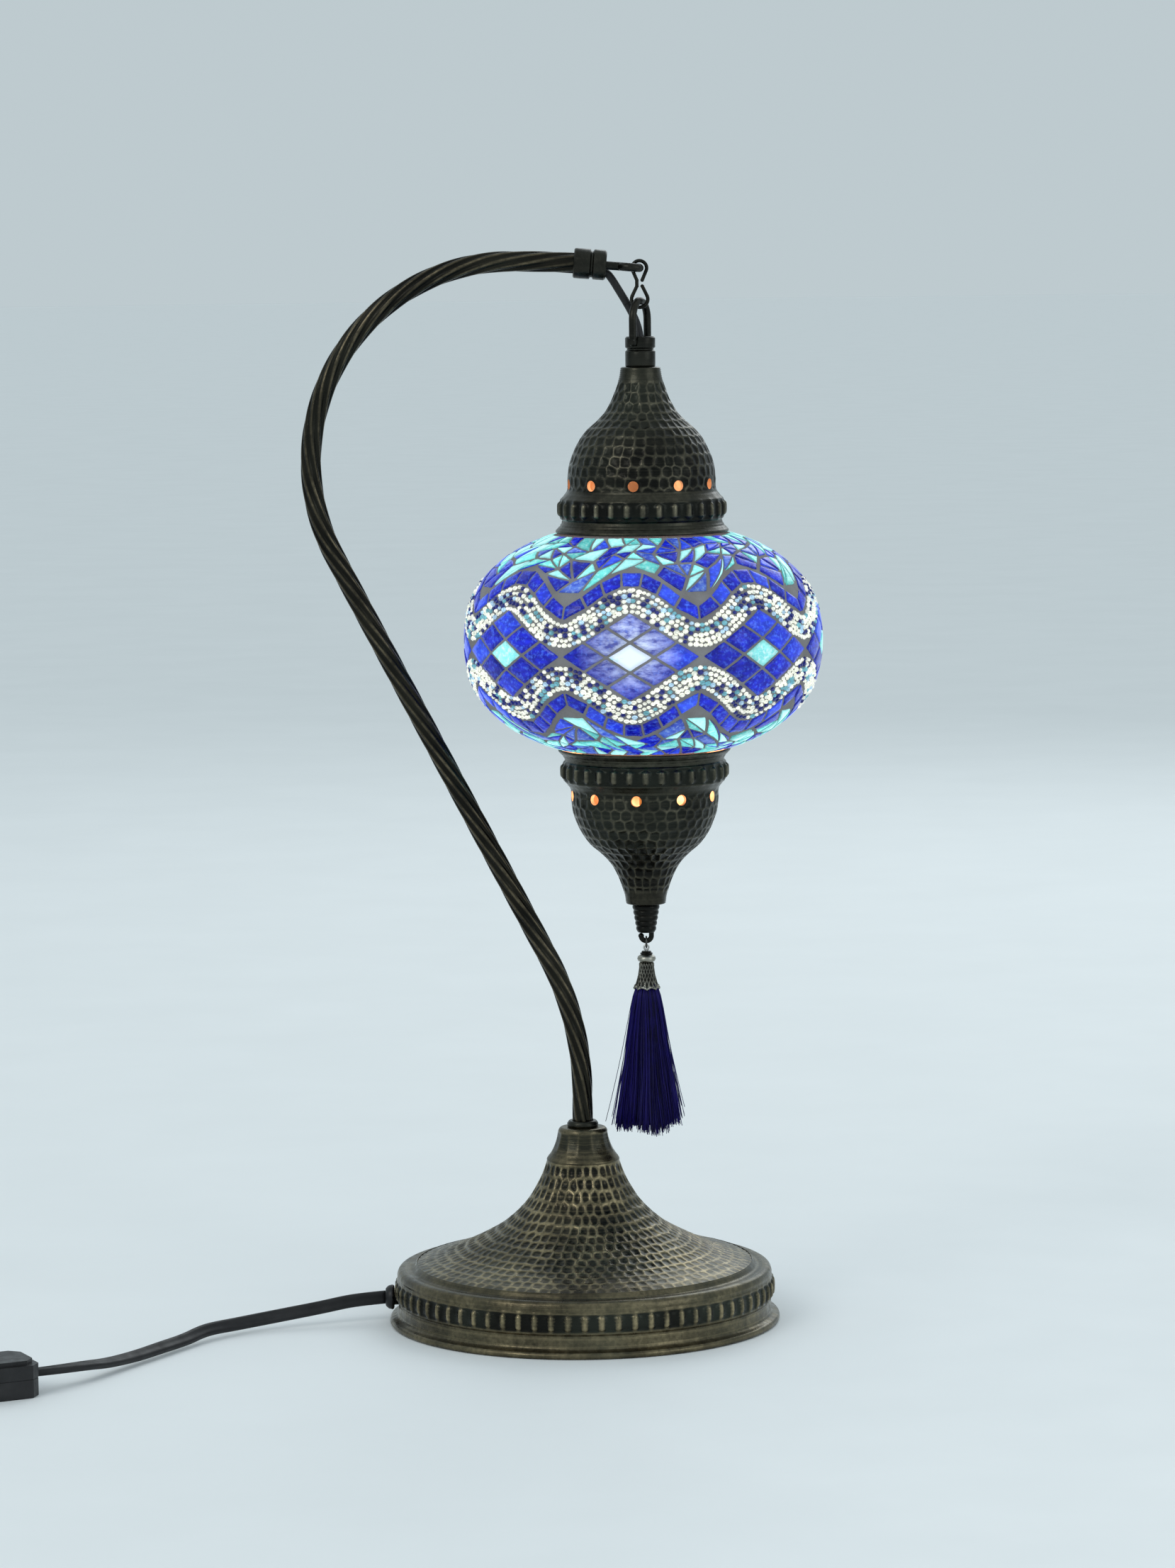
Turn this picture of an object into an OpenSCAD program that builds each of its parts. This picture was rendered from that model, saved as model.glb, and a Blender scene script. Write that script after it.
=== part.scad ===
// Swan-neck mosaic glass table lamp: a hammered brass base and arm, with a mosaic globe
// that hangs from the arm's eye on a wire link, and a silk tassel below the globe.
// Millimetres, +Z up. The origin is the centre of the base's underside, on the table.
// The arm stands in the XZ plane: it bows out to -X and carries the globe at +X.

/* [Whole lamp] */
// Height of the lamp, from the table to the top of the arm
lamp_h = 480.6; // [455:0.1:620]
// Distance of the hanging axis from the axis of the base
reach = 29.5; // [28:0.5:40]

/* [Base] */
// Radius of the base over its rolled lip
base_r = 88; // [74:0.5:110]
// Height of the base, up to the seat of the arm
base_h = 88; // [80:0.5:90]
// Thickness of the spun sheet of the base and the caps
sheet_t = 0.9; // [0.6:0.1:1.2]

/* [Arm] */
// Outer diameter of the arm tube
tube_d = 9.2; // [7.6:0.1:11.2]
// Wall thickness of the arm tube
tube_wall = 1; // [0.8:0.1:1.3]
// Radius of the arch over the top
arch_r = 89; // [74:1:108]
// Radius of the lower bend, above the base
bend_r = 135; // [112:1:162]
// Straight length of tube between the base and the lower bend
stem_rise = 16; // [12:1:20]
// Angle by which the end of the arm droops
tip_drop = 5; // [3:1:7]

/* [Hanging link] */
// Wire diameter of the link
link_d = 1.6; // [1.3:0.1:2]
// Wire diameter of the eye at the end of the arm
eye_d = 3.8; // [3.2:0.1:4.4]
// Wire diameter of the bail over the globe
bail_d = 3.4; // [2.8:0.1:4]

/* [Globe] */
// Radius of the globe over its tiles
globe_r = 80; // [67:0.5:96]
// Height of the globe between the two caps
globe_h = 96.8; // [81:0.5:100]
// Thickness of the blown glass
glass_t = 2.8; // [2:0.1:3.5]

/* [Caps] */
// Radius of the flange of each cap
cap_r = 38.5; // [32:0.5:42]
// Height of the top cap
cap_h = 73; // [66:1:78]
// Height of the bottom cap
bottom_cap_h = 70; // [64:1:74]
// Number of light holes around each cap
light_holes = 10; // [6:1:12]
// Diameter of a light hole
light_hole_d = 4.7; // [3:0.1:6]

/* [Tassel] */
// Longest length of the silk skirt that is cut
skirt_len = 66; // [30:1:80]
// Radius of the skirt at its lower end
skirt_r = 14.8; // [10:0.2:16]

/* [Hidden] */
$fn = 64;

// Extra diameter of the small knuckle where a wire is bent sharply
knuckle = 0.1;

// Room between two pieces of one body, and between two pieces that move apart
fit_gap = 0.1;
free_gap = 0.5;

// Colours
old_brass = "#4d4630";
dark_brass = "#2b2a22";
black_plastic = "#161616";
cobalt = "#1f2fc0";
turquoise = "#6fe0dc";
mid_blue = "#5a7fe0";

// Centreline of the arm: two tangent circles joined by their inner tangent, then the tip
collar_len = 14.5;
collar_d = tube_d + 4.2;
eye_r = 4;
tip_len = collar_len / 2 + 15;
tip_r = 410;
arm_end_x = reach - tip_len * cos(tip_drop);
arch_x = arm_end_x - tip_r * sin(tip_drop);
arch_top = lamp_h - tube_d / 2;
arch_z = arch_top - arch_r;
bend_z = base_h + stem_rise;
centre_dx = arch_x + bend_r;
centre_dz = arch_z - bend_z;
centre_gap = norm([centre_dx, centre_dz]);
lean = round(1000 * (asin((arch_r + bend_r) / centre_gap) - atan2(centre_dx, centre_dz))) / 1000;
lean_len = sqrt(pow(centre_gap, 2) - pow(arch_r + bend_r, 2));
arm_end_z = arch_top - tip_r * (1 - cos(tip_drop));
eye_z = arm_end_z - tip_len * sin(tip_drop);
tube_bore = tube_d - 2 * tube_wall;
stem_below = 12;
arm_steps = 288;
lead_d = 3.5;

// Heights of the hanging pieces, worked downwards from the eye
upper_loop_r = eye_d / 2 + link_d / 2 + free_gap;
lower_loop_r = bail_d / 2 + link_d / 2 + 1.1;
link_len = 17.4;
link_low_z = eye_z - link_len;
lower_loop_z = link_low_z + lower_loop_r;
waist_z = (eye_z - upper_loop_r + lower_loop_z + lower_loop_r) / 2;
crown_z = link_low_z + link_d / 2 + bail_d / 2 + free_gap;
bail_turn = 67;
ferrule_r = 6.7;
ferrule_len = 13.5;
mouth_r = 4.6;
bail_half = ferrule_r + bail_d / 2 + fit_gap;
ferrule_top = crown_z - 15.8;
rivet_z = ferrule_top - 2.2;
cap_top = ferrule_top - ferrule_len;
globe_top = cap_top - cap_h;
globe_z = globe_top - globe_h / 2;
globe_low = globe_top - globe_h;
cap_low = globe_low - bottom_cap_h;

// Finial and the hook below it
finial_h = 13;
finial_r = 6.3;
finial_low = cap_low - finial_h;
curl_d = 2.3;
curl_r = 2.3;
curl_low_z = finial_low - 4;
ring_d = 0.8;
ring_gap = 0.35;
ring_r = curl_d / 4 + 1.25 * ring_d + 0.85;
ring_z = curl_low_z + curl_d / 2 + ring_gap + ring_d / 2 - ring_r;
pin_pivot_z = ring_z - ring_r;
pin_eye_r = ring_d + 0.3;

// Tassel
bead_top = pin_pivot_z - pin_eye_r - ring_d / 2;
bead_h = 1.7;
disc_h = 3.6;
disc_r = 4.2;
disc_top = bead_top - bead_h;
tassel_cap_top = disc_top - disc_h;
tassel_cap_h = 11;
tassel_cap_low = tassel_cap_top - tassel_cap_h;
skirt_floor = base_h - 3;
skirt_low = max(skirt_floor, tassel_cap_low - skirt_len);

// Glass and mosaic: a superellipse of revolution
glass_power = 2.3;
mosaic_t = 2.7;
grout_t = 0.7;
tile_base = 1.12;
tile_t = 0.88;
neck_fit = 0.96;
globe_half = (globe_h / 2) / pow(1 - pow(neck_fit * cap_r / globe_r, glass_power), 1 / glass_power);
repeats = 8;
step_az = 360 / repeats;
front_az = -94.8;
pattern_drop = 1.6;
pattern_scale = globe_h / 96.8;
diamond_half = 19.7 * pattern_scale;
grid = 3;
tile_fill = 0.9;
band_half = 5.2 * pattern_scale;
band_trough = 9.3 * pattern_scale;
band_rise = 15.1 * pattern_scale;
border_low = band_half + 1;
border_high = border_low + 6.2 * pattern_scale;
border_count = 7;
border_fill = 0.88;
crown_trough = 23.4 * pattern_scale;
crown_rise = 15 * pattern_scale;
crown_end = 0.99 * globe_h / 2;
crown_rows = 4;
crown_cells = 40;

// Bulb and holder
holder_r = 13.5;
holder_len = 42;
holder_cap_h = 12;
nipple_d = 8;
nipple_bore = 5.4;
nipple_low = cap_top - 30;
neck_flats = min(12, 0.31 * cap_r);
holder_cap_top = nipple_low + 6;
holder_top = holder_cap_top - holder_cap_h;
holder_low = holder_top - holder_len;
plate_t = 1.2;
plate_r = cap_r * 0.79;
upper_plate_z = globe_top + 8;
lower_plate_z = globe_low - 8;
frame_x = plate_r - 4;
rod_d = 3;
bulb_r = min(22.5, frame_x - rod_d / 2 - 1);
bulb_neck_r = 6.8;
bulb_z = holder_low - 38;
stud_d = 5;
stud_low = cap_low - 6;

// Cord route from the bush to the switch, in round numbers, and its flat section
cord_exit = [-90, 0, 11];
cord_route = [cord_exit, [-105, -3, 10], [-120, -8, 8], [-138, -15, 6], [-155, -26, 5],
    [-168, -39, 5], [-177, -54, 4], [-186, -70, 4], [-196, -87, 4], [-206, -104, 5],
    [-215, -119, 7], [-225, -130, 8], [-236, -136, 8]];
tail_route = [[-294, -165, 8], [-305, -170, 7], [-318, -173, 5], [-332, -172, 4], [-346, -166, 4],
    [-358, -157, 4], [-370, -148, 4]];
plug_route = [[-391, -112, 9], [-395, -98, 9], [-397, -84, 8], [-396, -70, 7], [-392, -56, 7]];
cord_w = 6;
cord_t = 3.2;
cord_sides = 8;
cord_shift = 88 - base_r;

// Switch, coil and plug on the cord
switch_from = [-236, -136, 0];
switch_to = [-294, -165, 0];
switch_w = 27;
switch_h = 16;
switch_split = 8;
switch_turn = atan2(switch_to.y - switch_from.y, switch_to.x - switch_from.x);
switch_len = norm(switch_to - switch_from);
rocker_len = 19;
rocker_w = 11;
rocker_tilt = 7;
coil_centre = [-350, -110, 0];
coil_r = 42;
coil_inner = 29;
coil_h = 12.6;
plug_len = 34;
plug_w = 26;
plug_h = 13.8;
pin_d = 4;
pin_len = 19;
pin_pitch = 18.6;
pin_root_d = 3.4;
plug_turn = 74;

// ---------------------------------------------------------------- helpers

// Smooth curve through points, with a given number of steps between two of them
function curve(p, steps) = concat(
    [for (i = [0 : len(p) - 2]) for (s = [0 : steps - 1])
        let (a = p[max(i - 1, 0)], b = p[i], c = p[i + 1], d = p[min(i + 2, len(p) - 1)], t = s / steps)
        0.5 * (2 * b + (c - a) * t + (2 * a - 5 * b + 4 * c - d) * t * t
            + (3 * b - a - 3 * c + d) * t * t * t)],
    [p[len(p) - 1]]);

// Direction of an open outline at one of its points
function run_of(p, i) = let (d = p[min(i + 1, len(p) - 1)] - p[max(i - 1, 0)]) d / norm(d);

// Inner side of a sheet of thickness t, from the inside end back to the start
function inner_side(p, t) = [for (i = [len(p) - 1 : -1 : 0])
    let (d = run_of(p, i)) p[i] + t * [-d.y, d.x]];

// Revolved sheet of thickness t on the inner side of an outline that runs upwards
module spun(p, t) rotate_extrude() polygon(concat(p, inner_side(p, t)));

// Ring with a flat section
module washer(outer_r, inner_r, h) difference() {
    cylinder(r = outer_r, h = h);
    translate([0, 0, -1]) cylinder(r = inner_r, h = h + 2);
}

// Hexagonal nut with a bore
module hex_nut(flats, bore_r, h) difference() {
    cylinder(d = flats / cos(30), h = h, $fn = 6);
    translate([0, 0, -1]) cylinder(r = bore_r, h = h + 2);
}

// Straight round wire between two points
module wire(p, q, d) {
    v = q - p;
    translate(p) rotate([0, acos(v.z / norm(v)), atan2(v.y, v.x)]) cylinder(d = d, h = norm(v));
}

// Round wire bent on a circle in the XZ plane, between two angles counted from +X
module wire_arc(r, d, from, to) rotate([90, 0, 0])
    rotate_extrude(angle = to - from, start = from) translate([r, 0]) circle(d = d, $fn = 32);

// Rod along the whole centreline of the arm; each frame starts where the last one ended
module along_arm(d, below, past) {
    $fn = arm_steps;
    translate([0, 0, base_h - below]) cylinder(d = d, h = stem_rise + below, $fn = 48);
    translate([0, 0, bend_z]) sphere(d = d + knuckle, $fn = 48);
    translate([-bend_r, 0, bend_z]) rotate([0, -lean, 0]) {
        rotate([90, 0, 0]) rotate_extrude(angle = lean, start = -lean)
            translate([bend_r, 0]) circle(d = d, $fn = 48);
        translate([bend_r, 0, 0]) cylinder(d = d, h = lean_len, $fn = 48);
        translate([bend_r + arch_r, 0, lean_len]) {
            rotate([90, 0, 0]) rotate_extrude(angle = 90 + lean, start = 90 - lean)
                translate([arch_r, 0]) circle(d = d, $fn = 48);
            rotate([0, lean, 0]) {
                translate([0, 0, arch_r]) sphere(d = d + knuckle, $fn = 48);
                translate([0, 0, arch_r - tip_r]) rotate([90, 0, 0])
                    rotate_extrude(angle = tip_drop + past, start = 90 - tip_drop - past)
                        translate([tip_r, 0]) circle(d = d, $fn = 48);
            }
        }
    }
}

// Frame at the end of the arm, with +Z along the drooping tip
module at_tip() translate([arm_end_x, 0, arm_end_z]) rotate([0, 90 + tip_drop, 0]) children();

// Frame on the hanging axis at height z
module hang(z) translate([reach, 0, z]) children();

// Cord swept along points, w wide and t thick; its width starts square to the direction ref
// and the section turns from roll_a to roll_b
function ring_at(p, i, w, t, roll, ref) =
    let (d = p[min(i + 1, len(p) - 1)] - p[max(i - 1, 0)], f = d / norm(d),
        side = cross(f, ref) / norm(cross(f, ref)), up = cross(side, f),
        a = side * cos(roll) + up * sin(roll), b = up * cos(roll) - side * sin(roll))
    [for (k = [0 : cord_sides - 1]) let (q = 360 * (k + 0.5) / cord_sides)
        p[i] + a * w / 2 * cos(q) + b * t / 2 * sin(q)];
module swept(p, w, t, roll_a, roll_b, ref) {
    n = len(p);
    sides = cord_sides;
    points = [for (i = [0 : n - 1]) each ring_at(p, i, w, t, roll_a + (roll_b - roll_a) * i / (n - 1), ref)];
    sleeves = [for (i = [0 : n - 2]) for (k = [0 : sides - 1]) let (m = (k + 1) % sides)
        each [[i * sides + k, (i + 1) * sides + k, i * sides + m],
            [i * sides + m, (i + 1) * sides + k, (i + 1) * sides + m]]];
    first = [for (k = [0 : sides - 1]) k];
    last = [for (k = [sides - 1 : -1 : 0]) (n - 1) * sides + k];
    polyhedron(points, concat(sleeves, [first], [last]));
}

// ---------------------------------------------------------------- base

module base_outline_shell() {
    k = base_r / 88;
    m = base_h / 88;
    lip = [[86.6, 0], [87.7, 0.5], [88, 1.6], [87.4, 2.8], [85.4, 3.6], [84.3, 5.2], [84, 9.6]];
    band = [[84.6, 10.6], [85.6, 12.4], [85.9, 15.2], [85.6, 18], [84.6, 19.8], [84.4, 22.2]];
    rim = [[83.4, 24.2], [81, 24.8], [78.4, 24.6], [77, 25.2], [75.7, 27]];
    bell = [[75.7, 27], [65, 30.3], [55, 34], [40.5, 41.5], [32.9, 47], [26.2, 53.7], [22, 60],
        [18.6, 66.5], [16.2, 73]];
    collar = [[15.4, 74.4], [12.9, 76], [12, 79.5], [11.2, 85], [10.3, 87.3], [9.4, 88]];
    outline = concat(lip, band, rim, [for (i = [1 : 32]) curve(bell, 4)[i]], collar);
    spun(concat([for (q = outline) [q.x * k, q.y * m]], [[tube_d / 2 + fit_gap, base_h]]), sheet_t);
}
module base_shell() color(old_brass) difference() {
    base_outline_shell();
    translate([-base_r - 5, 0, cord_exit.z]) rotate([0, 90, 0]) cylinder(r = 3.6, h = 20);
}
module base_weight() color("#3a3a3c") translate([0, 0, 3.1])
    washer(base_r * 0.75, 12, 5);
module base_plate() color("#8a8d90") translate([0, 0, 1.7])
    washer(base_r - 5.4, 4, 1.2);
module felt_pad() color("#1d2c22") cylinder(r = base_r - 7, h = 1.6);
module cord_bush() color(black_plastic) translate([cord_shift, 0, cord_exit.z]) rotate([0, -90, 0])
    rotate_extrude() polygon([[2, 80], [3.5, 80], [3.5, 86.1], [5.3, 86.1], [5.6, 87], [5.2, 88.6],
        [4, 90], [2, 90]]);
module stem_seat() color(dark_brass) translate([0, 0, base_h]) rotate_extrude()
    translate([tube_d / 2 + fit_gap, 0])
        polygon([[0, 0], [2, 0], [2.3, 0.8], [2.3, 1.7], [1.5, 2.9], [0, 3]]);
module stem_washer() color("#8a8d90") translate([0, 0, base_h - 3.4])
    washer(tube_d / 2 + 3, tube_d / 2 + fit_gap, 1.2);
module stem_nut() color("#8a8d90") translate([0, 0, base_h - 8])
    hex_nut(tube_d + 5, tube_d / 2 + fit_gap, 4.5);
module base_lead() color("#5c564a")
    swept(curve([[-79 + cord_shift, 0, cord_exit.z], [-62, 0, 14], [-42, 0, 21], [-22, 0, 33], [-7, 0, 48],
        [0, 0, 62], [0, 0, base_h - stem_below - fit_gap]], 2), lead_d, lead_d, 0, 0, [0, 1, 0]);

// ---------------------------------------------------------------- arm

module arm_tube() color(old_brass) difference() {
    along_arm(tube_d, stem_below, 0);
    along_arm(tube_bore, stem_below + 1, 0.2);
}
module arm_lead() color("#5c564a") along_arm(lead_d, stem_below, 0);
module arm_collar() color(dark_brass) at_tip() difference() {
    rotate_extrude() polygon([[0, -7], [collar_d / 2 - 0.6, -7], [collar_d / 2, -6.4],
        [collar_d / 2, 0.2], [collar_d / 2 - 0.9, 0.8], [collar_d / 2 - 0.9, 1.4],
        [collar_d / 2, 2], [collar_d / 2, 6.7], [collar_d / 2 - 0.7, 7.5], [0, 7.5]]);
    translate([0, 0, -8]) cylinder(r = tube_d / 2 + 2 * fit_gap, h = 8.6);
    translate([0, 0, -8]) cylinder(r = eye_d / 2 + fit_gap, h = 17);
    translate([3, 3, -8]) cylinder(r = lead_d / 2 + fit_gap, h = 17);
}
module arm_eye() color(dark_brass) at_tip() {
    translate([0, 0, 1]) cylinder(d = eye_d, h = tip_len - 2 * eye_r - 1);
    translate([0, 0, tip_len - eye_r]) rotate([0, 90, 0]) rotate_extrude()
        translate([eye_r, 0]) circle(d = eye_d);
}

// ---------------------------------------------------------------- cord, switch and plug

// What lies on the table beside the base moves out with the edge of the base
module on_table() translate([cord_shift, 0, 0]) children();
module supply_cord() color(black_plastic) on_table() swept(cord_route, cord_w, cord_t, 90, 0, [0, 0, 1]);
module tail_cord() color(black_plastic) on_table() swept(tail_route, cord_w, cord_t, 0, 90, [0, 0, 1]);
module plug_cord() color(black_plastic) on_table() swept(plug_route, cord_w, cord_t, 90, 0, [0, 0, 1]);
module cord_coil() color(black_plastic) on_table() translate(coil_centre) rotate_extrude()
    polygon([[coil_inner, 1.5], [coil_inner + 1.5, 0], [coil_r - 1.5, 0], [coil_r, 1.5],
        [coil_r, coil_h - 1.5], [coil_r - 1.5, coil_h], [coil_inner + 1.5, coil_h],
        [coil_inner, coil_h - 1.5]]);

// Frame of the switch: +X along its length from the lamp's end, on the table
module at_switch() on_table() translate(switch_from) rotate([0, 0, switch_turn]) children();
module switch_outline(inset) translate([inset, 0]) polygon([[0, -9 + inset], [4, -switch_w / 2 + inset],
    [switch_len - 4 - 2 * inset, -switch_w / 2 + inset], [switch_len - 2 * inset, -9 + inset],
    [switch_len - 2 * inset, 9 - inset], [switch_len - 4 - 2 * inset, switch_w / 2 - inset],
    [4, switch_w / 2 - inset], [0, 9 - inset]]);
module switch_screw_places() for (x = [10, switch_len - 10]) translate([x, 8, 0]) children();
module rocker_lugs() for (y = [-1, 1])
    translate([switch_len / 2, y * (rocker_w / 2 + 2)]) square([5, 3], center = true);
module switch_tray() color(black_plastic) at_switch() difference() {
    linear_extrude(switch_split) switch_outline(0);
    translate([0, 0, 1.6]) linear_extrude(switch_split) difference() {
        switch_outline(1.8);
        switch_screw_places() circle(r = 3);
    }
    switch_screw_places() translate([0, 0, -1]) cylinder(r = 1.4, h = switch_split + 2);
    switch_screw_places() translate([0, 0, -1]) cylinder(r = 2.7, h = 3);
}
module switch_lid() color(black_plastic) at_switch() difference() {
    translate([0, 0, switch_split + fit_gap]) union() {
        linear_extrude(switch_h - switch_split - 2) switch_outline(0);
        translate([0, 0, switch_h - switch_split - 2]) linear_extrude(2 - fit_gap) switch_outline(2);
    }
    translate([0, 0, switch_split - 1]) linear_extrude(switch_h - switch_split - 1) difference() {
        switch_outline(1.8);
        switch_screw_places() circle(r = 3);
        rocker_lugs();
    }
    translate([switch_len / 2 - rocker_len / 2 - 1, -rocker_w / 2 - 0.6, switch_split - 1])
        cube([rocker_len + 2, rocker_w + 1.2, switch_h]);
    translate([switch_len / 2, -12, switch_h - 3]) rotate([-90, 0, 0]) cylinder(r = 1.1, h = 24);
    switch_screw_places() translate([0, 0, switch_split - 1]) cylinder(r = 1.1, h = 5.5);
}
module switch_screws() color("#8a8d90") at_switch() switch_screw_places() {
    translate([0, 0, 0.4]) cylinder(r = 2.4, h = 1.5);
    translate([0, 0, 1.9]) cylinder(r = 1, h = 9.6);
}
// Rocker, rocked to one side, with its pin moulded on
module switch_rocker() color("#202022") at_switch() translate([switch_len / 2, 0, switch_h - 3])
    rotate([90, rocker_tilt, 0]) {
        translate([0, 0, -rocker_w / 2]) linear_extrude(rocker_w) polygon([[-rocker_len / 2, 0], [-3.5, -3],
            [3.5, -3], [rocker_len / 2, 0], [rocker_len / 2, 4.8], [6, 4.4], [0, 3.9], [-6, 4.4],
            [-rocker_len / 2, 4.8]]);
        translate([0, 0, -rocker_w / 2 - 2.4]) cylinder(r = 0.9, h = rocker_w + 4.8);
    }

// Frame of the plug: +X from the cord to the pins
module at_plug() on_table() translate(plug_route[len(plug_route) - 1]) rotate([0, 0, plug_turn]) children();
module plug_body() color(black_plastic) at_plug() difference() {
    translate([0, 0, -plug_route[len(plug_route) - 1].z]) linear_extrude(plug_h)
        polygon([[0, -4], [10, -6], [20, -plug_w / 2], [plug_len, -plug_w / 2], [plug_len, plug_w / 2],
            [20, plug_w / 2], [10, 6], [0, 4]]);
    for (y = [-0.5, 0.5]) translate([plug_len - 8, y * pin_pitch, 0]) rotate([0, 90, 0])
        cylinder(d = pin_root_d + 0.1, h = 10);
}
module plug_pins() color("#b9bcc0") at_plug() for (y = [-0.5, 0.5])
    translate([plug_len - 7.5, y * pin_pitch, 0]) rotate([0, 90, 0]) {
        cylinder(d = pin_root_d, h = 8);
        translate([0, 0, 7.8]) cylinder(d = pin_d, h = pin_len - pin_d / 2 - 0.3);
        translate([0, 0, 7.5 + pin_len - pin_d / 2]) sphere(d = pin_d);
    }

// ---------------------------------------------------------------- link, bail and ferrule

// One half of the link: a loop whose ends run on to a waist at the given distance
module link_loop(r, reach_down, gap) {
    far = norm([gap, reach_down]);
    turn = acos(r / far);
    aim = atan2(-reach_down, gap);
    right = aim + turn;
    left = -180 - aim - turn;
    wire_arc(r, link_d, right, left + 360);
    for (side = [[right, gap], [left, -gap]]) {
        bend = [r * cos(side[0]), 0, r * sin(side[0])];
        end = [side[1], 0, -reach_down];
        wire(bend, end, link_d);
        for (q = [bend, end]) translate(q) sphere(d = link_d + knuckle);
    }
}
module hanging_link() color(dark_brass) hang(0) {
    half = 0.55 + link_d / 2;
    side = link_d * 0.75;
    translate([0, 0, eye_z]) link_loop(upper_loop_r, eye_z - waist_z - half, side);
    translate([0, 0, lower_loop_z]) mirror([0, 0, 1])
        link_loop(lower_loop_r, waist_z - lower_loop_z - half, side);
    wire([-side, 0, waist_z - half], [-side, 0, waist_z + half], link_d);
}
module hanging_lead() color(black_plastic)
    swept([for (q = curve([[-12.9, 3.1, -3.4], [-10.4, 3.5, -7.6], [-7.4, 3.8, -12.4], [-4.4, 3.6, -18],
            [-1.9, 2.4, -23.4], [-0.4, 0.9, -28.4], [0, 0, -32.6]], 2)) q + [reach, 0, eye_z]],
        lead_d, lead_d, 0, 0, [0, 1, 0]);
module in_bail() hang(0) rotate([0, 0, bail_turn]) children();
module bail() color(dark_brass) in_bail() difference() {
    union() {
        translate([0, 0, crown_z - bail_half]) wire_arc(bail_half, bail_d, 0, 180);
        for (s = [-1, 1]) {
            wire([s * bail_half, 0, ferrule_top - 2.6], [s * bail_half, 0, crown_z - bail_half], bail_d);
            translate([s * bail_half, 0, ferrule_top - 2.6]) sphere(d = bail_d);
        }
    }
    translate([-20, 0, rivet_z]) rotate([0, 90, 0]) cylinder(r = 0.9, h = 40);
}
module bail_rivets() color(dark_brass) in_bail() for (s = [0, 180]) rotate([0, 0, s])
    translate([0, 0, rivet_z]) rotate([0, 90, 0]) {
        translate([0, 0, mouth_r + 0.1]) cylinder(r = 0.85, h = bail_half + bail_d / 2 - mouth_r);
        translate([0, 0, bail_half + bail_d / 2 + 0.05]) cylinder(r = 1.5, h = 0.7);
    }
module ferrule() color(dark_brass) difference() {
    hang(cap_top) rotate_extrude() polygon([[nipple_d / 2 + fit_gap, 0], [ferrule_r - 0.3, 0],
        [ferrule_r, 0.6], [ferrule_r, 6.9], [ferrule_r - 0.8, 7.6], [ferrule_r - 0.8, 8.1], [ferrule_r, 8.7],
        [ferrule_r, ferrule_len - 0.7], [ferrule_r - 0.7, ferrule_len], [mouth_r, ferrule_len], [mouth_r, 6],
        [nipple_d / 2 + fit_gap, 6]]);
    in_bail() translate([-20, 0, rivet_z]) rotate([0, 90, 0]) cylinder(r = 0.9, h = 40);
}
module nipple() color(old_brass) hang(nipple_low) difference() {
    cylinder(d = nipple_d, h = cap_top + 5.8 - nipple_low);
    translate([0, 0, -1]) cylinder(d = nipple_bore, h = 60);
}
module neck_nut() color("#8a8d90") hang(cap_top - sheet_t - 4.2) hex_nut(neck_flats, nipple_d / 2 + fit_gap, 4);

// ---------------------------------------------------------------- caps

// Hammered bell of one cap, from its flange at z = 0 up to its neck at z = h
module cap_bell(h) {
    k = cap_r / 38.5;
    m = h / 73;
    flange = [[38.5, 0], [38.4, 1], [36.6, 2.6], [35.4, 4.6], [35.3, 5.4]];
    band = [[36.6, 6.6], [37.3, 8.6], [37.4, 10.4], [37.2, 12.4], [36.5, 14.4], [35.3, 15.6], [34.4, 16.6]];
    bell = [[33, 18.4], [33, 24], [32.2, 30], [30.1, 36], [27.4, 41.2], [24.2, 45.3], [19.7, 49.3],
        [15.6, 53.9], [12.6, 59.6], [10.2, 66.2]];
    neck = [[9.2, 69.4], [8.9, 72.2], [8.4, 73]];
    outline = concat(flange, band, curve(bell, 3), neck);
    spun(concat([for (q = outline) [q.x * k, q.y * m]], [[nipple_d / 2 + fit_gap, h]]), sheet_t);
}
module cap(h) difference() {
    cap_bell(h);
    for (i = [0 : light_holes - 1]) rotate([0, 0, (i + 0.3) * 360 / light_holes])
        translate([cap_r * 0.7, 0, 21.5 * h / 73]) rotate([0, 90, 0])
            cylinder(d = light_hole_d, h = cap_r * 0.3);
}
module top_cap() color(dark_brass) hang(globe_top) cap(cap_h);
module bottom_cap() color(dark_brass) hang(globe_low) mirror([0, 0, 1]) cap(bottom_cap_h);

// ---------------------------------------------------------------- inside the globe

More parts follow.
